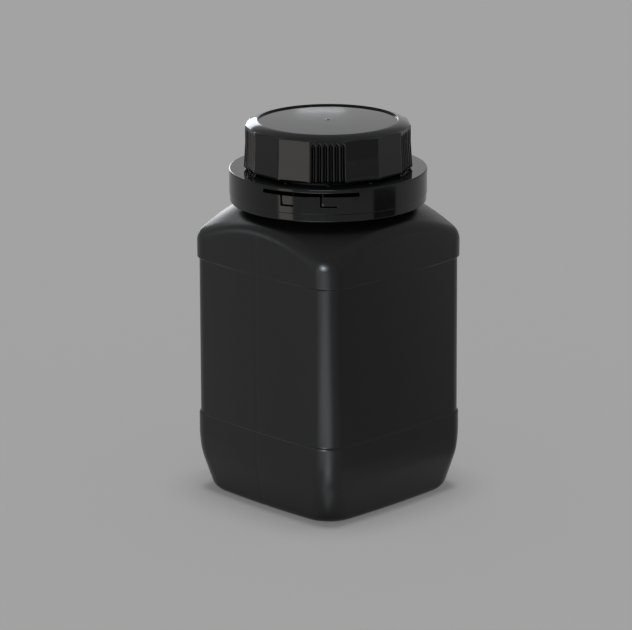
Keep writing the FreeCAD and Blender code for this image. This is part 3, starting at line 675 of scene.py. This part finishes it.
def skirt_radius(sizes, directions, level):
    """Outer radius of the faceted skirt at one level, with the grooves of the ribbed facets."""
    count = facet_count(sizes)
    facet = TURN / count
    middle = sizes.bore + sizes.wall
    rise = level - sizes.foot
    flare = sizes.foot_flare * max(1 - rise / sizes.flare_height, 0)
    apothem = middle + flare * math.cos(facet / 2)
    local = (directions + facet / 2) % facet - facet / 2
    radius = facet_radius_at(local, apothem, count, FACET_CORNER)
    group = facet * sizes.facets_per_group
    in_group = (directions + group / 2) % group - group / 2
    along = middle * np.tan(local)
    pitch = 2 * middle * math.tan(facet / 2) / sizes.grooves
    away = pitch * abs((along / pitch + (sizes.grooves % 2) / 2) % 1 - 0.5)
    opening = pitch / 2 - sizes.ridge_width / 2
    run_out = (level - sizes.groove_top + sizes.groove_fade) / sizes.groove_fade
    depth = sizes.groove_depth * (1 - away / opening - max(run_out, 0))
    ribbed = abs(in_group) < facet / 2
    return radius - np.where(ribbed, np.maximum(depth, 0), 0)


def cap_rows(sizes, thread, bottle):
    """The cap from the middle of its ceiling down the bore, round the foot and up to the top."""
    directions = cap_columns(sizes)
    turned = directions + sizes.heading
    ceiling = LINER_HIGH.z
    base = sizes.foot + thread.cap_low
    mesh_turn = (base - bottle.collar_top - thread.neck_low) / thread.pitch
    start = TURN / 2 + TURN * mesh_turn
    turns = (bottle.rim_level - thread.cap_high - base) / thread.pitch
    rows = [pole(ceiling)]
    rows += [row_at(turned, sizes.bore * share, ceiling) for share in (0.5, 0.98)]
    for level in np.linspace(ceiling - ROW_GAP, sizes.foot + 0.5 * MM, BORE_ROWS + 1):
        inward = ridge(turned, level, start, base, turns, thread)
        rows.append(row_at(turned, sizes.bore - inward, level))
    foot_edge = 0.35 * MM
    rows.append(row_at(turned, sizes.bore + foot_edge, sizes.foot))
    skirt = skirt_radius(sizes, directions, sizes.foot)
    for turn in np.radians((90, 60, 30, 0)):
        inset = foot_edge * (1 - math.cos(turn))
        lift = foot_edge * (1 - math.sin(turn))
        rows.append(row_at(turned, skirt - inset, sizes.foot + lift))
    flare_end = sizes.foot + sizes.flare_height
    facet_top = sizes.top - sizes.facet_drop
    grooves_end = facet_top - 2.7 * MM
    levels = [*np.linspace(sizes.foot + 1.2 * MM, flare_end, FLARE_ROWS),
              *np.linspace(flare_end + 1 * MM, grooves_end - ROW_GAP, SKIRT_ROWS),
              *np.linspace(grooves_end, facet_top - ROW_GAP, GROOVE_END_ROWS)]
    rows += [row_at(turned, skirt_radius(sizes, directions, level), level) for level in levels]
    return rows + crown_rows(sizes, directions, turned)


def crown_rows(sizes, directions, turned):
    """The round crown over the facets' straight tops, and the recess in it."""
    facet_top = sizes.top - sizes.facet_drop
    over_corners = (sizes.bore + sizes.wall) / math.cos(TURN / 2 / facet_count(sizes))
    centre = over_corners - sizes.rounding
    reach = centre + math.sqrt(sizes.rounding ** 2 - (sizes.rounding - sizes.facet_drop) ** 2)
    recess = centre - sizes.land
    skirt = skirt_radius(sizes, directions, facet_top)
    least_inset = 0.03 * MM
    inset = least_inset + sizes.edge * smooth((skirt - reach) / SOFT_EDGE)
    rows = []
    for share in (1, 0.6, 0.3, 0.1):
        rows.append(row_at(turned, skirt - inset * (1 - share) ** 2, facet_top - inset * share))
    rows.append(row_at(turned, np.minimum(skirt - inset, reach + 0.05 * MM), facet_top))
    chord = math.atan2(sizes.facet_drop, reach - recess)
    radius = math.hypot(sizes.facet_drop, reach - recess) / 2 / math.sin(chord - sizes.crown_fall)
    fall = 2 * chord - sizes.crown_fall
    for slope in np.linspace(fall, sizes.crown_fall, CROWN_ROWS + 1)[1:]:
        out = recess + radius * (math.sin(slope) - math.sin(sizes.crown_fall))
        level = sizes.top - radius * (math.cos(sizes.crown_fall) - math.cos(slope))
        rows.append(row_at(turned, np.minimum(out, skirt - inset), level))
    return rows[:-2] + recess_rows(sizes, turned, recess)


def recess_rows(sizes, directions, radius):
    """The recess in the cap's top, its shallow dome and the gate's nub."""
    floor = sizes.top - sizes.recess_depth
    start = 0.2 * MM
    edge = section([
        (radius + start, sizes.top - start * math.tan(sizes.crown_fall), 0),
        (radius, sizes.top, 0.1 * MM),
        (radius, floor, 0.25 * MM),
        (radius - 1 * MM, floor + 0.01 * MM, 0),
    ])
    dome = [(radius * share, floor + sizes.dome * (1 - share ** 2))
            for share in np.linspace(0.94, 0.05, DOME_ROWS)]
    middle = floor + sizes.dome
    nub_top = middle + sizes.gate_height * 0.8
    nub = section([
        (sizes.gate_radius * 1.6, middle, 0),
        (sizes.gate_radius, middle, 0.2 * MM),
        (sizes.gate_radius * 0.55, middle + sizes.gate_height, 0.15 * MM),
        (0.05 * MM, nub_top, 0),
    ])
    return spun([*edge, *dome, *nub], directions) + [pole(nub_top)]


class SQUARE_BOTTLE_OT_cap(bpy.types.Operator):
    """Build the screw cap with its facets, ribs, recessed top and thread"""
    bl_idname = "square_bottle.cap"
    bl_label = "Screw Cap"

    def execute(self, context):
        scene = context.scene
        rows = cap_rows(scene.cap_sizes, scene.thread_sizes, scene.bottle_sizes)
        piece = mesh_from_rows("ribbed_screw_cap", rows)
        material = moulded_polypropylene("cap_moulded_pp", scene.finishes.cap)
        dress(piece, "cap", "cap", material, "screw_cap")
        return {"FINISHED"}


class SQUARE_BOTTLE_OT_liner(bpy.types.Operator):
    """Build the foam liner with the ring that the neck's rim has pressed into it"""
    bl_idname = "square_bottle.liner"
    bl_label = "Cap Liner"

    def execute(self, context):
        sizes = context.scene.bottle_sizes
        radius = LINER_HIGH.x
        low = LINER_LOW.z
        high = LINER_HIGH.z
        directions = np.linspace(0, TURN, LINER_COLUMNS, endpoint=False)
        marks = [
            (sizes.mouth_radius * 0.5, low),
            (sizes.mouth_radius - 0.2 * MM, low),
            (sizes.mouth_radius + 0.2 * MM, low + LINER_MARK),
            (sizes.neck_radius - 0.5 * MM, low + LINER_MARK),
            (sizes.neck_radius - 0.1 * MM, low),
        ]
        edge = section([
            (radius * 0.6, low, 0),
            (radius, low, 0.25 * MM),
            (radius, high, 0.25 * MM),
            (radius * 0.6, high, 0),
        ])
        rows = spun([*marks, *edge[1:]], directions)
        piece = mesh_from_rows("foam_liner", [pole(low), *rows, pole(high)])
        material = foamed_polyethylene(context.scene.finishes.liner)
        dress(piece, "liner", "liner", material, "cap_liner")
        return {"FINISHED"}


# Tamper-evident ring

def ring_levels(sizes):
    """Levels of the slit's top and foot and of the pawls' foot."""
    top = sizes.foot + sizes.height
    slit_top = top - sizes.slit_drop
    slit_foot = slit_top - sizes.slit_height
    pawl_foot = slit_foot - sizes.pawl_drop
    return slit_top, slit_foot, pawl_foot


def ring_windows(sizes):
    """Windows through the ring's wall: two directions and two levels each."""
    slit_top, slit_foot, pawl_foot = ring_levels(sizes)
    cut = sizes.pawl_cut / sizes.radius
    windows = [(sizes.slit_start, sizes.slit_start + sizes.slit_span, slit_foot, slit_top)]
    for start, span in ((sizes.left_pawl, sizes.left_span), (sizes.right_pawl, sizes.right_span)):
        windows.append((start, start + cut, pawl_foot, slit_foot))
        windows.append((start, start + span, pawl_foot, pawl_foot + sizes.pawl_cut))
    return windows


def ring_profile(sizes, levels):
    """The ring's section from the hub's foot round the inside and up the outside, and where
    the rows of its wall's inner and outer faces begin."""
    top = sizes.foot + sizes.height
    inner = sizes.radius - sizes.wall
    hub = inner - sizes.room
    bore = hub - sizes.wall
    lip = bore - sizes.lip
    hub_foot = sizes.foot + sizes.hub_lift
    under = top - sizes.wall
    line = sizes.foot + sizes.line_height
    low_radius = sizes.radius - sizes.line_step
    inner_levels = levels[:-2] + [under - 0.45 * MM, under - 0.14 * MM]
    lip_top = hub_foot + sizes.lip_height
    inside = section([
        (bore, top - 2 * MM, 0),
        (bore, lip_top, 0.25 * MM),
        (lip, lip_top, 0.3 * MM),
        (lip, hub_foot, 0.3 * MM),
        (hub, hub_foot, 0.3 * MM),
        (hub, under, 0.5 * MM),
        (inner, under, 0.1 * MM),
        (inner, inner_levels[-1], 0),
    ], 3)
    inner_start = len(inside) - 1
    wall = [(inner, level) for level in reversed(inner_levels[:-1])]
    foot = section([
        (inner, levels[0], 0),
        (inner, sizes.foot, 0.3 * MM),
        (low_radius, sizes.foot, sizes.edge),
        (low_radius, line, 0.08 * MM),
        (sizes.radius, line + sizes.line_step, 0.08 * MM),
        (sizes.radius, levels[0], 0),
    ], 6)
    profile = [*inside, *wall, *foot[1:]]
    outer_start = len(profile) - 1
    profile += [(sizes.radius, level) for level in levels[1:]]
    crown = section([
        (sizes.radius, levels[-1], 0),
        (sizes.radius, top, sizes.edge),
        (bore, top, 0.3 * MM),
        (bore, top - 2 * MM, 0),
    ], 6)
    return profile + crown[1:-1], inner_start, outer_start


def ring_columns(windows):
    """Directions round the ring, with one at each side of each window."""
    sides = {side for window in windows for side in window[:2]}
    even = np.linspace(-TURN / 2, TURN / 2, RING_COLUMNS, endpoint=False)
    apart = 0.25 * TURN / RING_COLUMNS
    kept = [direction for direction in even
            if all(abs(direction - side) > apart for side in sides)]
    return np.array(sorted(kept + list(sides)))


def open_windows(mesh, rows, columns, levels, windows, inner_start, outer_start):
    """Leave out the wall's faces in each window and close the window's four sides."""
    def is_open(row, column):
        level = (levels[row] + levels[row + 1]) / 2
        following = columns[column + 1] if column + 1 < len(columns) else columns[0] + TURN
        direction = (columns[column] + following) / 2
        return any(left < direction < right and low < level < high
                   for left, right, low, high in windows)

    count = len(columns)
    last = len(levels) - 1
    holes = {(row, column) for row in range(last) for column in range(count)
             if is_open(row, column)}

    def outer(row, column):
        return rows[outer_start + row][column % count]

    def inner(row, column):
        return rows[inner_start + last - row][column % count]

    for row, column in holes:
        corners = (((row, column), (row, column + 1), (row - 1, column)),
                   ((row + 1, column + 1), (row + 1, column), (row + 1, column)),
                   ((row + 1, column), (row, column), (row, column - 1)),
                   ((row, column + 1), (row + 1, column + 1), (row, column + 1)))
        for first, second, beyond in corners:
            if beyond not in holes:
                mesh.faces.new((outer(*first), outer(*second), inner(*second), inner(*first)))
    return holes


def build_ring(sizes):
    """The ring's mesh: a turned section with its windows left open."""
    windows = ring_windows(sizes)
    slit_top, slit_foot, pawl_foot = ring_levels(sizes)
    line_top = sizes.foot + sizes.line_height + sizes.line_step
    top = sizes.foot + sizes.height - sizes.edge
    levels = [line_top + ROW_GAP, pawl_foot, pawl_foot + sizes.pawl_cut,
              (pawl_foot + slit_foot) / 2, slit_foot, slit_top, top - 0.1 * MM]
    profile, inner_start, outer_start = ring_profile(sizes, levels)
    columns = ring_columns(windows)
    rows = spun(profile, columns + sizes.heading)
    mesh = bmesh.new()
    made = [[mesh.verts.new(point) for point in row] for row in rows]
    holes = open_windows(mesh, made, columns, levels, windows, inner_start, outer_start)
    count = len(columns)
    last = len(levels) - 1
    for index, lower in enumerate(made):
        upper = made[(index + 1) % len(made)]
        for column in range(count):
            following = (column + 1) % count
            on_outer = (index - outer_start, column)
            on_inner = (inner_start + last - 1 - index, column)
            if on_outer in holes or on_inner in holes:
                continue
            mesh.faces.new((lower[column], lower[following], upper[following], upper[column]))
    add_stubs(mesh, sizes)
    return finished_piece("tamper_evident_ring", mesh)


def add_stubs(mesh, sizes):
    """The torn ends of the bridges that held the cap to the ring."""
    top = sizes.foot + sizes.height
    bore = sizes.radius - 2 * sizes.wall - sizes.room
    root = bore + 0.05 * MM
    half = sizes.stub_width / 2
    outlines = (
        (top - 0.5 * MM, sizes.stub_foot, half),
        (top + 0.1 * MM, 0.9 * sizes.stub_foot, half),
        (sizes.stub_top, sizes.stub_tip, 0.7 * half),
    )
    for index in range(sizes.stubs):
        turn = TURN * index / sizes.stubs + sizes.heading
        along = Vector((math.cos(turn), math.sin(turn), 0))
        aside = Vector((-along.y, along.x, 0))
        corners = []
        for level, reach, width in outlines:
            end = bore + reach
            for radius, side in ((root, -width), (end, -width), (end, width), (root, width)):
                place = along * radius + aside * side + Vector((0, 0, level))
                corners.append(mesh.verts.new(place))
        mesh.faces.new(corners[3::-1])
        mesh.faces.new(corners[8:])
        for base in (0, 4):
            for side in range(4):
                following = (side + 1) % 4
                mesh.faces.new((corners[base + side], corners[base + following],
                                corners[base + 4 + following], corners[base + 4 + side]))


class SQUARE_BOTTLE_OT_ring(bpy.types.Operator):
    """Build the tamper-evident ring with its slit, pawls and torn bridges"""
    bl_idname = "square_bottle.ring"
    bl_label = "Tamper-Evident Ring"

    def execute(self, context):
        scene = context.scene
        piece = build_ring(scene.ring_sizes)
        bevel = piece.modifiers.new("window_edges", "BEVEL")
        bevel.width = 0.1 * MM
        bevel.segments = 2
        bevel.limit_method = "ANGLE"
        bevel.angle_limit = math.radians(50)
        material = moulded_polypropylene("ring_moulded_pp", scene.finishes.ring)
        dress(piece, "bottle", "ring", material, "tamper_ring")
        return {"FINISHED"}


# Materials

def add_node(tree, kind, settings=None, inputs=None):
    """Add a node with its own settings and its inputs set to values or linked to outputs."""
    node = tree.nodes.new(kind)
    for name, value in (settings or {}).items():
        setattr(node, name, value)
    for name, value in (inputs or {}).items():
        if isinstance(value, bpy.types.NodeSocket):
            tree.links.new(value, node.inputs[name])
        else:
            node.inputs[name].default_value = value
    return node


def blank_tree(owner):
    """The empty node tree of a material or world."""
    owner.use_nodes = True
    owner.node_tree.nodes.clear()
    return owner.node_tree


def new_material(name, shade, refraction, roughness):
    """A material with a Principled shader; gives back the material, its tree, the shader and
    the piece's own coordinates."""
    material = bpy.data.materials.new(name)
    tree = blank_tree(material)
    shader = add_node(tree, "ShaderNodeBsdfPrincipled", inputs={
        "Base Color": (*shade, 1), "IOR": refraction, "Roughness": roughness})
    add_node(tree, "ShaderNodeOutputMaterial", inputs={"Surface": shader.outputs["BSDF"]})
    place = add_node(tree, "ShaderNodeTexCoord").outputs["Object"]
    return material, tree, shader, place


def noise(tree, place, grain, detail=2.0, roughness=0.5):
    """Noise whose grains are of a real size in metres."""
    return add_node(tree, "ShaderNodeTexNoise", {"noise_dimensions": "3D"}, {
        "Vector": place, "Scale": 1 / grain, "Detail": detail,
        "Roughness": roughness}).outputs["Fac"]


def set_roughness(tree, shader, pattern, low, high):
    """Let a pattern move a shader's roughness between two values."""
    spread = add_node(tree, "ShaderNodeMapRange", inputs={
        "Value": pattern, "To Min": low, "To Max": high})
    tree.links.new(spread.outputs["Result"], shader.inputs["Roughness"])


def set_bumps(tree, shader, *layers):
    """Give a shader bumps, each from a pattern, a strength and a real depth in metres."""
    under = {}
    for pattern, strength, depth in layers:
        bump = add_node(tree, "ShaderNodeBump", inputs={
            "Height": pattern, "Strength": strength, "Distance": depth, **under})
        under = {"Normal": bump.outputs["Normal"]}
    tree.links.new(under["Normal"], shader.inputs["Normal"])


def blown_polyethylene(shade):
    """Black high-density polyethylene blown against a blasted mould: a soft waxy sheen, a fine
    even grain and slow waves where the wall cooled unevenly."""
    material, tree, shader, place = new_material("blow_moulded_hdpe", shade, 1.5, 0.33)
    grain = noise(tree, place, 0.5 * MM)
    waves = noise(tree, place, 26 * MM, 1.0)
    set_bumps(tree, shader, (grain, 0.12, 0.05 * MM), (waves, 0.35, 0.5 * MM))
    set_roughness(tree, shader, noise(tree, place, 14 * MM, 3.0), 0.3, 0.36)
    return material


def moulded_polypropylene(name, shade):
    """Black polypropylene from a polished mould: a clear gloss with faint flow waves and rubs."""
    material, tree, shader, place = new_material(name, shade, 1.49, 0.14)
    set_bumps(tree, shader, (noise(tree, place, 9 * MM), 0.25, 0.12 * MM))
    set_roughness(tree, shader, noise(tree, place, 3 * MM, 5.0, 0.65), 0.06, 0.14)
    return material


def foamed_polyethylene(shade):
    """Pale foamed polyethylene sheet: matt, with the fine cells of its skin."""
    material, tree, shader, place = new_material("foamed_polyethylene_sheet", shade, 1.5, 0.7)
    cells = add_node(tree, "ShaderNodeTexVoronoi", inputs={
        "Vector": place, "Scale": 1 / (0.6 * MM)}).outputs["Distance"]
    set_bumps(tree, shader, (cells, 0.3, 0.1 * MM))
    return material


# Stage

def around(azimuth, elevation, distance, centre=Vector((0, 0, 0))):
    """A point seen from a centre at an azimuth and elevation given in degrees."""
    turn = math.radians(azimuth)
    rise = math.radians(elevation)
    back = Vector((math.sin(turn) * math.cos(rise), -math.cos(turn) * math.cos(rise),
                   math.sin(rise)))
    return centre + back * distance


def staged_surface(name, mesh, material_name, shader):
    """An object of the stage that takes over a bmesh, with the shader that is built for it."""
    surface = object_from(name, mesh)
    material = bpy.data.materials.new(material_name)
    tree = blank_tree(material)
    add_node(tree, "ShaderNodeOutputMaterial", inputs={"Surface": shader(tree)})
    surface.data.materials.append(material)
    return surface


def plain_floor(shade, evenness):
    """A large plain floor: part of it looks evenly lit to the camera and in reflections, and
    the rest keeps the bottle's shadow."""
    def paper(tree):
        matt = add_node(tree, "ShaderNodeBsdfDiffuse", inputs={"Color": (*shade, 1)})
        even = add_node(tree, "ShaderNodeEmission", inputs={"Color": (*shade, 1)})
        ray = add_node(tree, "ShaderNodeLightPath").outputs
        mirrored = add_node(tree, "ShaderNodeMath", {"operation": "MAXIMUM"}, {
            0: ray["Is Glossy Ray"], 1: ray["Is Transmission Ray"]})
        seen = add_node(tree, "ShaderNodeMath", {"operation": "MAXIMUM"}, {
            0: ray["Is Camera Ray"], 1: mirrored.outputs["Value"]})
        share = add_node(tree, "ShaderNodeMath", {"operation": "MULTIPLY"}, {
            0: seen.outputs["Value"], 1: evenness})
        return add_node(tree, "ShaderNodeMixShader", inputs={
            0: share.outputs["Value"], 1: matt.outputs["BSDF"],
            2: even.outputs["Emission"]}).outputs["Shader"]

    mesh = bmesh.new()
    bmesh.ops.create_grid(mesh, x_segments=1, y_segments=1, size=6)
    floor = staged_surface("floor", mesh, "plain_paper", paper)


def dark_board(name, azimuth, span, near, far, shade, steps=12):
    """A matt curved board on the floor that shows in reflections alone, in degrees and metres
    round the bottle; its grey is a painted reflection, darker than the lit floor it hides."""
    # painted reflection: a grey seen only in the glossy pieces, standing in for a darker surround
    def reflected_shade(tree):
        return add_node(tree, "ShaderNodeBsdfDiffuse", inputs={
            "Color": (*linear(shade), 1)}).outputs["BSDF"]

    mesh = bmesh.new()
    lift = Vector((0, 0, 1 * MM))
    turns = [azimuth + span * (step / steps - 0.5) for step in range(steps + 1)]
    inner, outer = [[mesh.verts.new(around(turn, 0, distance, lift)) for turn in turns]
                    for distance in (near, far)]
    for step in range(steps):
        mesh.faces.new((inner[step], inner[step + 1], outer[step + 1], outer[step]))
    board = staged_surface(name, mesh, name + "_felt", reflected_shade)
    board.visible_camera = False
    board.visible_diffuse = False
    board.visible_shadow = False


def plain_world(dim, bright, bright_side):
    """A plain pale surround that is brighter low down on one side."""
    world = bpy.data.worlds.new("plain_surround")
    bpy.context.scene.world = world
    tree = blank_tree(world)
    way = add_node(tree, "ShaderNodeTexCoord").outputs["Generated"]
    towards = add_node(tree, "ShaderNodeVectorMath", {"operation": "DOT_PRODUCT"}, {
        0: way, 1: bright_side})
    level = add_node(tree, "ShaderNodeMapRange", inputs={
        "Value": towards.outputs["Value"], "From Min": 0.88, "From Max": 0.985,
        "To Min": dim, "To Max": bright})
    light = add_node(tree, "ShaderNodeBackground", inputs={"Strength": level.outputs["Result"]})
    add_node(tree, "ShaderNodeOutputWorld", inputs={"Surface": light.outputs["Background"]})


def reflected_panel(name, place, target, width, height, brightness, shade="#F2F9FF"):
    """A rectangular lamp that shows in reflections alone, where 1 is white, and so leaves the
    floor evenly lit."""
    light = bpy.data.lights.new(name, "AREA")
    light.shape = "RECTANGLE"
    light.size = width
    light.size_y = height
    light.color = linear(shade)
    light.energy = brightness * math.pi * width * height
    lamp = add_object(name, light)
    lamp.location = place
    lamp.rotation_euler = (target - place).to_track_quat("-Z", "Y").to_euler()
    lamp.visible_camera = False
    lamp.visible_diffuse = False
    return lamp


def soft_box(name, azimuth, elevation, distance, only_on=(), aim=MIDDLE, **look):
    """A soft panel, placed in degrees and metres from its aim and kept to some pieces, if any."""
    lamp = reflected_panel(name, around(azimuth, elevation, distance, aim), aim, **look)
    if only_on:
        receivers = bpy.data.collections.new(name + "_receivers")
        for piece in only_on:
            receivers.objects.link(bpy.data.objects[piece])
        lamp.light_linking.receiver_collection = receivers


def leaning_board(name, near, far, **look):
    """A panel that rises from near the bottle's foot and faces back and up to it, between the
    azimuths, elevations and distances of its near and far edges."""
    near = around(*near)
    far = around(*far)
    along = far - near
    place = (near + far) / 2
    facing = along.cross(Vector((0, 0, 1))).cross(along)
    reflected_panel(name, place, place + facing, height=along.length, **look)


def overhead_light(brightness, spread):
    """Very soft light from straight above, kept out of the reflections."""
    light = bpy.data.lights.new("overhead", "SUN")
    light.energy = brightness * math.pi
    light.angle = spread
    lamp = add_object("overhead", light)
    lamp.visible_glossy = False


def place_camera(scene, settings):
    """Put the camera at the photograph's viewing angle."""
    data = bpy.data.cameras.new("camera")
    data.lens = settings.focal
    data.sensor_width = 36
    data.clip_start = 0.05
    data.clip_end = 50
    camera = add_object("camera", data)
    place = around(math.degrees(settings.azimuth), math.degrees(settings.elevation),
                   settings.distance, MIDDLE)
    facing = (MIDDLE - place).to_track_quat("-Z", "Y")
    turn = Euler((settings.tilt, -settings.pan, 0)).to_quaternion()
    roll = Euler((0, 0, settings.roll)).to_quaternion()
    camera.location = place
    camera.rotation_euler = (facing @ turn @ roll).to_euler()
    scene.camera = camera


class SQUARE_BOTTLE_OT_stage(bpy.types.Operator):
    """Set up the floor, the surround, the lights and the camera"""
    bl_idname = "square_bottle.stage"
    bl_label = "Stage"

    def execute(self, context):
        scene = context.scene
        plain_floor(scene.finishes.floor, evenness=0.35)
        plain_world(dim=0.36, bright=0.76, bright_side=around(228, 9, 1))
        overhead_light(brightness=0.68, spread=math.radians(20))
        body = ("blown_bottle",)
        ring = ("tamper_evident_ring",)
        closure = ("ribbed_screw_cap", "tamper_evident_ring")
        soft_box("left_back_box", 242, 10, 1.5, closure, width=0.5, height=0.7, brightness=3.4)
        soft_box("back_lamp", 225.3, 13.2, 1.5, closure, width=0.05, height=0.014,
                 brightness=2.2)
        soft_box("low_back_box", 235, -1, 0.6, body, aim=Vector((0, 0, 0.1)), width=0.28,
                 height=0.2, brightness=2.6)
        soft_box("left_high_box", 262, 38, 1.5, body, width=0.9, height=0.6, brightness=0.9)
        soft_box("left_front_box", -45, 14, 1.2, body, width=0.6, height=0.22, brightness=1.3)
        soft_box("low_warm_panel", -3, -5, 0.34, width=0.1, height=0.16, brightness=1.35,
                 shade="#DCD5CB")
        soft_box("high_front_box", 20, 16, 1.2, body, width=0.36, height=0.32, brightness=26)
        soft_box("ring_front_box", 36, 52, 1.2, ring, width=0.5, height=0.3, brightness=5)
        leaning_board("leaning_front_board", near=(30, 2.6, 0.12), far=(30, 6.8, 0.302),
                      width=0.14, brightness=1.3)
        leaning_board("leaning_band_board", near=(42, 1.5, 0.082), far=(42, 2.5, 0.118),
                      width=0.024, brightness=2.3)
        leaning_board("leaning_foot_board", near=(39, 0.3, 0.052), far=(41, 1.3, 0.078),
                      width=0.014, brightness=0.55)
        # Painted reflections: grey boards seen only in the glossy pieces darken what the right
        # face, the cap's facets and the ring mirror on that side
        dark_board("near_right_board", 125, span=64, near=0.07, far=0.385, shade="#868686")
        dark_board("ring_board", 112, span=30, near=0.42, far=0.56, shade="#484848")
        dark_board("far_right_board", 96, span=50, near=0.56, far=1.3, shade="#868686")
        place_camera(scene, scene.stage_settings)
        scene.view_settings.view_transform = "Standard"
        return {"FINISHED"}


# Panel and registration

class SQUARE_BOTTLE_PT_build(bpy.types.Panel):
    """Lists the steps that build the bottle"""
    bl_idname = "SQUARE_BOTTLE_PT_build"
    bl_label = "Square Bottle"
    bl_space_type = "VIEW_3D"
    bl_region_type = "UI"
    bl_category = "Square Bottle"

    def draw(self, context):
        for step in STEPS:
            self.layout.operator(step.bl_idname)


STEPS = (
    SQUARE_BOTTLE_OT_bottle,
    SQUARE_BOTTLE_OT_ring,
    SQUARE_BOTTLE_OT_cap,
    SQUARE_BOTTLE_OT_liner,
    SQUARE_BOTTLE_OT_stage,
)
GROUPS = {
    "bottle_sizes": BottleSizes,
    "thread_sizes": ThreadSizes,
    "cap_sizes": CapSizes,
    "ring_sizes": RingSizes,
    "finishes": Finishes,
    "stage_settings": StageSettings,
}


def register():
    for group in GROUPS.values():
        bpy.utils.register_class(group)
    for step in (*STEPS, SQUARE_BOTTLE_PT_build):
        bpy.utils.register_class(step)
    for name, group in GROUPS.items():
        setattr(bpy.types.Scene, name, PointerProperty(type=group))


def unregister():
    for name in GROUPS:
        delattr(bpy.types.Scene, name)
    for step in reversed((*STEPS, SQUARE_BOTTLE_PT_build)):
        bpy.utils.unregister_class(step)
    for group in reversed(list(GROUPS.values())):
        bpy.utils.unregister_class(group)


def main():
    """Register the add-on and run its steps in order."""
    register()
    bpy.ops.square_bottle.bottle()
    bpy.ops.square_bottle.ring()
    bpy.ops.square_bottle.cap()
    bpy.ops.square_bottle.liner()
    bpy.ops.square_bottle.stage()


if __name__ == "__main__":
    main()
